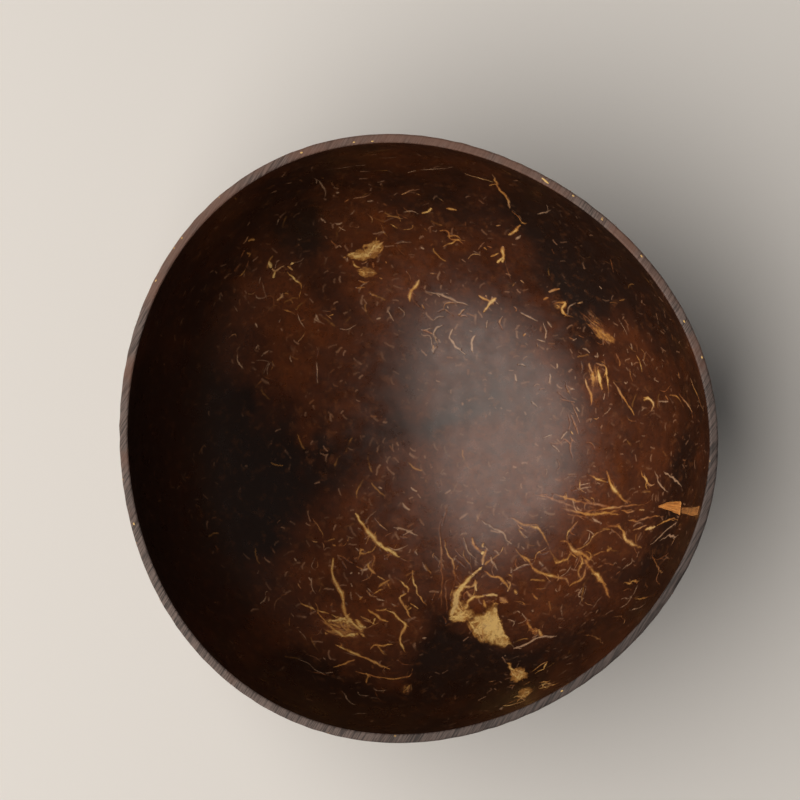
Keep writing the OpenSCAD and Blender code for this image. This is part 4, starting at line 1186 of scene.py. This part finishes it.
# chords of the outline: fibres that cross the patch, more of them on a larger one
def tuftOf(patch, seed):
    rng = np.random.default_rng(tuft["seed"] + seed)
    loop, centre = patch["outline"], patch["centre"]
    size = patch["reach"].mean() / mm
    count = int(tuft["fewest"] + tuft["perSquare"] * size ** 2)
    first = rng.integers(0, len(loop), count)
    last = (first + len(loop) // 2 + rng.integers(-2, 3, count)) % len(loop)
    ends = [centre + rng.uniform(*tuft["reach"], count)[:, None] * (loop[k] - centre) for k in (first, last)]
    bow = rng.normal(0, tuft["bow"], (count, 1)) * (loop[rng.integers(0, len(loop), count)] - centre)
    routes = np.stack([ends[0], (ends[0] + ends[1]) / 2 + bow, ends[1]], 1)
    width = rng.uniform(*tuft["width"], count)
    strength = rng.uniform(*tuft["strength"], count) * patch["strength"]
    tone = patch["tone"] + rng.uniform(*tuft["tone"], count)
    return [makeStroke(width[i], tone[i], strength[i], routes[i], seed * 50 + i) for i in range(count)]


# the group's factors on width and strength and its shift of tone, then a route on the face for each stroke
def groupStrokes(group):
    listed = list(group["polar"])
    for crop, drawnOn in group.items():
        if isinstance(crop, tuple):
            listed += [(*look, seen(route, crop)) for *look, route in drawnOn]
    strokes = []
    for i, (width, tone, strength, route) in enumerate(listed):
        look = width * group["width"], tone + group["tone"], strength * group["gain"]
        strokes.append(makeStroke(*look, route, group["seed"] + i, dustMost=group["dust"]))
    thin = [one for i, stroke in enumerate(strokes) for one in hairsOf(stroke, group["seed"] + i)]
    return strokes, thin + rootletsOf(*group["rootlets"], group["seed"])


# a low lens section carried along the line on the face, sunk at its sides and ends, closed inside the wall
def ribbon(stroke, columns):
    f, u, angle, turn = strandForm, stroke["u"], stroke["angle"], stroke["turn"]
    side = unit(np.cross(faceNormal(angle, turn), np.gradient(stroke["line"], axis=0)))
    perRound, perOut = across(side, *faceSteps(angle, turn))
    c = np.linspace(-1, 1, columns)
    reach = f["halo"] * stroke["half"][:, None] * c
    full = np.clip(np.minimum(u, 1 - u) * stroke["long"] / f["taper"], 0, 1)[:, None]
    lift = (f["rise"] + f["sink"]) * (1 - c ** 2) * full - f["sink"]
    angleAt, turnAt = angle[:, None], turn[:, None]
    topTurn = np.minimum(turnAt + reach * perOut[:, None], f["lastTurn"])
    top = innerFace(angleAt + reach * perRound[:, None], topTurn, lift)
    section = np.concatenate([top, innerFace(angleAt, turnAt, np.full(angleAt.shape, -f["under"]))], axis=1)
    n, m = section.shape[:2]
    smooth = np.append(np.tile(np.arange(m) < columns - 1, n - 1), [False, False])
    return section.reshape(-1, 3), lambda start: tubeFaces(n, m, start), smooth


# rings from the middle to the outline in angle and share, domed a little, closed below
def patchSheet(patch):
    f, centre = patchForm, patch["centre"]
    loop = np.vstack([patch["outline"], patch["outline"][:1]])
    at = np.linspace(0, len(loop) - 1, f["around"], endpoint=False)
    edge = np.stack([np.interp(at, np.arange(len(loop)), loop[:, i]) for i in (0, 1)], -1)
    area = np.sum(edge[:, 1] * np.roll(edge[:, 0], -1) - edge[:, 0] * np.roll(edge[:, 1], -1))
    edge = edge if area > 0 else edge[::-1]
    rho = np.linspace(0, f["spread"], f["rings"] + 1)[1:, None, None]
    spot = centre + rho * (edge - centre)[None]
    angle, turn = np.radians(spot[..., 0]), turnOf(spot[..., 1])
    lift = (f["rise"] + f["sink"]) * (1 - (rho[..., 0] / f["spread"]) ** 4) - f["sink"] + 0 * angle
    middle = np.radians(centre[:1]), turnOf(centre[1:])
    tips = [innerFace(*middle, np.array([high])) for high in (f["rise"], -f["under"])]
    points = np.concatenate([innerFace(angle, turn, lift).reshape(-1, 3), *tips])
    n, m = angle.shape

    def facesFrom(start):
        top, last = start + n * m, start + (n - 1) * m
        fans = fanFaces(top, start, m) + fanFaces(top + 1, last, m, flip=True)
        return gridFaces(n, m, start, flip=True) + fans

    return points, facesFrom, np.arange((n + 1) * m) < n * m


def joinParts(name, parts, node):  # points, faces and flags of the parts, one after the other
    starts = np.cumsum([0] + [len(part[0]) for part in parts]).tolist()
    points = np.concatenate([part[0] for part in parts])
    faces = [face for part, start in zip(parts, starts) for face in part[1](start)]
    looks = {**markings(points), **drawn(points, allStrokes, allPatches)}
    piece = makeMesh(name, points, faces, looks, np.concatenate([part[2] for part in parts]))
    piece.data.materials.append(inner)
    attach(piece, "root")
    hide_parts(node)
    print(name, "made", len(parts), "parts", len(points), "points")


strokeSets = {name: groupStrokes(group) for name, group in groups.items()}
allPatches = [makePatch(*patch) for patch in patches]
allStrokes = [stroke for strokes, thin in strokeSets.values() for stroke in strokes + thin]
allStrokes += [stroke for i, patch in enumerate(allPatches) for stroke in tuftOf(patch, i)]
for name, (strokes, thin) in strokeSets.items():
    parts = [ribbon(stroke, strandForm["across"]) for stroke in strokes]
    parts += [ribbon(stroke, strandForm["hairAcross"]) for stroke in thin]
    joinParts(name, parts, groups[name]["node"])
joinParts("palePatches", [patchSheet(patch) for patch in allPatches], "pale_patches")


# the husk chip: two plates that butt, each a grid along and across

chip = {
    "thick": 0.30 * mm, "under": 0.12 * mm, "dip": 0.02 * mm, "along": 24, "across": 11, "seed": 31,
    "ragged": 0.0006, "ridge": 0.25, "fallAcross": 6, "fallAlong": 9, "fallPower": 0.6,
    "grainAcross": 9, "grainAlong": 2.2, "crop": lowerRightCrop, "most": 0.9985,
    "plates": [  # far edge and near edge of each plate, read off the photograph, and how worn it is
        ([(745, 143), (760, 137), (776, 130), (821, 125), (837, 124)],
         [(745, 146), (760, 150), (787, 158), (810, 167), (833, 176)], 0.0),
        ([(836, 149), (867, 145), (890, 143), (911, 142)],
         [(837, 172), (860, 177), (876, 182), (911, 179)], 0.55),
    ],
}


def edgeOf(places, v, rng):  # angle and turn along an edge, with a seeded walk that makes it ragged
    place = seen(places, chip["crop"], chip["most"])
    spaced = np.linspace(0, 1, len(place))
    angle = np.interp(v, spaced, np.radians(place[:, 0]))
    return np.stack([angle + np.cumsum(rng.normal(0, chip["ragged"], len(v))),
                     np.interp(v, spaced, turnOf(place[:, 1]))], -1)


# between two edges that run up the wall; the top is ridged along its fibres and falls off at the border
def makeChip():
    rng = np.random.default_rng(chip["seed"])
    points, faces, grain, smooth, worn, start = [], [], [], [], [], 0
    v, c = np.linspace(0, 1, chip["along"]), np.linspace(0, 1, chip["across"])
    for *plate, wornPlate in chip["plates"]:
        far, near = (edgeOf(places, v, rng)[:, None] for places in plate)
        spot = near * (1 - c)[None, :, None] + far * c[None, :, None]
        angle, turn = spot[..., 0], spot[..., 1]
        ridges = chip["ridge"] * np.sin(c * 19 + rng.uniform(0, 6)) * np.sin(v[:, None] * 7 + c * 5)
        ridges = 1 - chip["ridge"] + ridges
        fall = np.minimum(np.minimum(c, 1 - c)[None] * chip["fallAcross"],
                          np.minimum(v, 1 - v)[:, None] * chip["fallAlong"])
        fall = np.clip(fall, 0, 1) ** chip["fallPower"]
        top = innerFace(angle, turn, chip["thick"] * ridges * fall - chip["dip"] * (fall <= 0))
        base = innerFace(angle, turn, np.full(angle.shape, -chip["under"]))
        section = np.concatenate([top, base[:, ::-1]], axis=1)
        n, m = section.shape[:2]
        lines = np.zeros((n, m, 3))
        lines[..., 0] = np.concatenate([c, c[::-1]]) * chip["grainAcross"]
        lines[..., 1] = v[:, None] * chip["grainAlong"]
        lines[..., 2] = start * 0.1
        points.append(section.reshape(-1, 3))
        faces += tubeFaces(n, m, start)
        grain.append(lines.reshape(-1, 3))
        worn.append(np.full(n * m, wornPlate))
        smooth += np.tile(np.arange(m) < len(c) - 1, n - 1).tolist() + [False, False]
        start += n * m
    looks = {"grain": np.concatenate(grain), "worn": np.concatenate(worn)}
    piece = makeMesh("huskChip", np.concatenate(points), faces, looks, np.array(smooth))
    piece.data.materials.append(husk)
    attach(piece, "root")
    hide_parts("husk_chip")
    print("husk chip made")


makeChip()


# whiskers of fibre on the outer edge of the rim

whiskers = {
    "seed": 21, "count": 70, "rings": 7, "sides": 5, "length": (0.25, 1.1), "skew": 2, "thick": 0.045 * mm,
    "thinning": 0.75, "lean": 0.9, "drop": (0.2, 2.5), "inset": 0.35 * mm, "below": 0.25 * mm,
    "sag": 0.4, "curl": 0.3,
    "arcs": [(300, 332), (42, 68), (128, 158), (212, 238)],
}


def makeWhiskers():  # bent thin tubes: a circle carried along a quadratic curve that leaves the rim
    w = whiskers
    count, n, m = w["count"], w["rings"], w["sides"]
    rng = np.random.default_rng(w["seed"])
    arc = np.array(w["arcs"])[rng.integers(0, len(w["arcs"]), count)]
    angle = np.radians(rng.uniform(arc[:, 0], arc[:, 1]))[:, None]
    length = skewed(rng, count, w["length"], w["skew"])[:, None] * mm
    t = np.linspace(0, 1, n)[None]
    lean, drop = rng.uniform(-w["lean"], w["lean"], (count, 1)), rng.uniform(*w["drop"], (count, 1)) * mm
    reach = bowl["rimR"] * (1 + swell(angle)) - w["inset"] + length * (t - w["curl"] * t ** 2)
    turned = angle + lean * length * t ** 2 / bowl["rimR"]
    height = bowl["height"] - drop - w["below"] - w["sag"] * length * t ** 2
    line = np.stack([reach * np.cos(turned), reach * np.sin(turned), height], -1)
    ahead = unit(np.gradient(line, axis=1))
    side = unit(np.cross(ahead, [0, 0, 1.0]))
    up = np.cross(side, ahead)
    turn = np.linspace(0, 2 * np.pi, m, endpoint=False)[:, None]
    radius = (w["thick"] * (1 - w["thinning"] * t))[..., None, None]
    circle = np.cos(turn) * side[:, :, None] + np.sin(turn) * up[:, :, None]
    points = (line[:, :, None] + radius * circle).reshape(-1, 3)
    faces = [face for i in range(count) for face in tubeFaces(n, m, i * n * m)]
    piece = makeMesh("rimWhiskers", points, faces, {"grain": points / mm})
    piece.data.materials.append(husk)
    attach(piece, "root")
    print("whiskers made")


makeWhiskers()


# fibre ends that show on the sawn rim

rimFlecks = {
    "rise": 0.016 * mm, "sink": 0.004 * mm, "under": 0.2 * mm, "tip": 0.15, "along": 11, "across": 5,
    "strength": 1.0, "tone": 0.7,
    "list": [  # width in millimetres, places in the photograph
        (0.52, [(541.5, 177.5), (545.0, 180.5), (549.0, 184.0)]), (0.40, [(572.0, 195.0), (574.4, 196.6)]),
        (0.42, [(640.6, 255.0), (642.6, 257.4)]), (0.40, [(683.4, 320.0), (685.0, 322.8)]),
        (0.42, [(701.6, 356.0), (702.4, 358.6)]), (0.44, [(300.0, 153.0), (303.0, 152.2)]),
        (0.36, [(352.6, 142.3), (355.2, 142.1)]), (0.36, [(371.0, 141.2), (373.6, 141.2)]),
        (0.42, [(133.4, 522.6), (134.4, 525.2)]), (0.40, [(560.8, 691.8), (563.2, 690.2)]),
        (0.36, [(155.2, 281.8), (156.6, 279.6)]), (0.34, [(601.0, 218.6), (603.0, 220.4)]),
    ],
}


def makeRimFlecks():  # low lens sections carried along short lines on the flat of the rim
    f = rimFlecks
    u, c = np.linspace(0, 1, f["along"]), np.linspace(-1, 1, f["across"])
    bell = np.sin(np.pi * u)
    top = bowl["height"] - shellForm["low"]
    points, faces, start = [], [], 0
    for width, places in f["list"]:
        place = (np.array(places) - picture["middle"]) / picture["perMetre"] * [1, -1] + picture["at"]
        line = np.stack([np.interp(u, np.linspace(0, 1, len(place)), place[:, i]) for i in (0, 1)], -1)
        ahead = np.gradient(line, axis=0)
        side = np.stack([-ahead[:, 1], ahead[:, 0]], -1) / np.linalg.norm(ahead, axis=1, keepdims=True)
        half = width * mm / 2 * (f["tip"] + (1 - f["tip"]) * np.sqrt(bell))
        spot = line[:, None] + (half[:, None] * c)[..., None] * side[:, None]
        lift = top + (f["rise"] + f["sink"]) * (1 - c ** 2) * bell[:, None] ** 0.5 - f["sink"]
        upper = np.concatenate([spot, lift[..., None]], -1)
        lower = np.concatenate([line, np.full((len(u), 1), top - f["under"])], -1)[:, None]
        section = np.concatenate([upper, lower], axis=1)
        n, m = section.shape[:2]
        faces += tubeFaces(n, m, start)
        points.append(section.reshape(-1, 3))
        start += n * m
    points = np.concatenate(points)
    full = np.ones(len(points))
    looks = {**markings(points), "fibre": f["strength"] * full, "tone": f["tone"] * full}
    piece = makeMesh("rimFlecks", points, faces, looks)
    piece.data.materials.append(inner)
    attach(piece, "root")
    print("rim flecks made")


makeRimFlecks()


# floor, light and camera

stage = {
    "floor": colour(0.74, 0.74, 0.73), "floorRoughness": 0.8, "floorReach": 12.0,
    "sky": colour(0.95, 0.93, 0.90), "skyStrength": 0.040, "band": (0.12, 0.42), "bandStrength": 0.70,
    "tint": (1.0, 0.92, 0.84), "aim": (0, 0, 0.03), "lens": 172.5, "sensor": 36.0, "clip": (0.01, 50.0),
    "lamps": [  # name, power, size, distance, tilt from upright and turn
        ("keyLight", 13.5, (1.70, 1.00), 0.95, 31.0, 188.0), ("fillLight", 0.15, (0.9, 0.9), 1.3, 62.0, 20.0),
    ],
}


def makeLamp(name, strength, size, away, tilt, turn):
    light = bpy.data.lights.new(name, "AREA")
    light.shape, light.energy, light.color = "ELLIPSE", strength, stage["tint"]
    light.size, light.size_y = size
    tilt, turn = np.radians(tilt), np.radians(turn)
    way = Vector((np.sin(tilt) * np.cos(turn), np.sin(tilt) * np.sin(turn), np.cos(tilt)))
    holder = bpy.data.objects.new(name, light)
    holder.location = Vector(stage["aim"]) + way * away
    holder.rotation_euler = (-way).to_track_quat("-Z", "Y").to_euler()
    holder.visible_camera = False
    bpy.context.scene.collection.objects.link(holder)


def makeStage():  # a pale floor, a sky that is brighter low down, two lamps, and the camera of the photograph
    reach = stage["floorReach"]
    corners = np.array([[-reach, -reach, 0], [reach, -reach, 0], [reach, reach, 0], [-reach, reach, 0.0]])
    floor = makeMesh("floor", corners, [[0, 1, 2, 3]])
    material, _, shader, _ = newMaterial("paleFloor")
    shader.inputs["Base Color"].default_value = stage["floor"]
    shader.inputs["Roughness"].default_value = stage["floorRoughness"]
    floor.data.materials.append(material)

    world = bpy.data.worlds.new("softSky")
    world.use_nodes = True
    tree = world.node_tree
    background = tree.nodes["Background"]
    background.inputs["Color"].default_value = stage["sky"]
    way = addNode(tree, "ShaderNodeTexCoord").outputs["Generated"]  # up is the third part of the way looked
    sky = fade(tree, partsOf(tree, way)[2], *stage["band"], stage["bandStrength"], stage["skyStrength"])
    put(background.inputs["Strength"], sky)
    bpy.context.scene.world = world
    for lamp in stage["lamps"]:
        makeLamp(*lamp)

    camera = bpy.data.objects.new("camera", bpy.data.cameras.new("camera"))
    camera.data.lens, camera.data.sensor_width = stage["lens"], stage["sensor"]
    camera.location = (*picture["at"], bowl["height"] + picture["away"])
    camera.data.clip_start, camera.data.clip_end = stage["clip"]
    bpy.context.scene.collection.objects.link(camera)
    bpy.context.scene.camera = camera
    bpy.context.scene.view_settings.view_transform = "Standard"
    print("stage made")


makeStage()
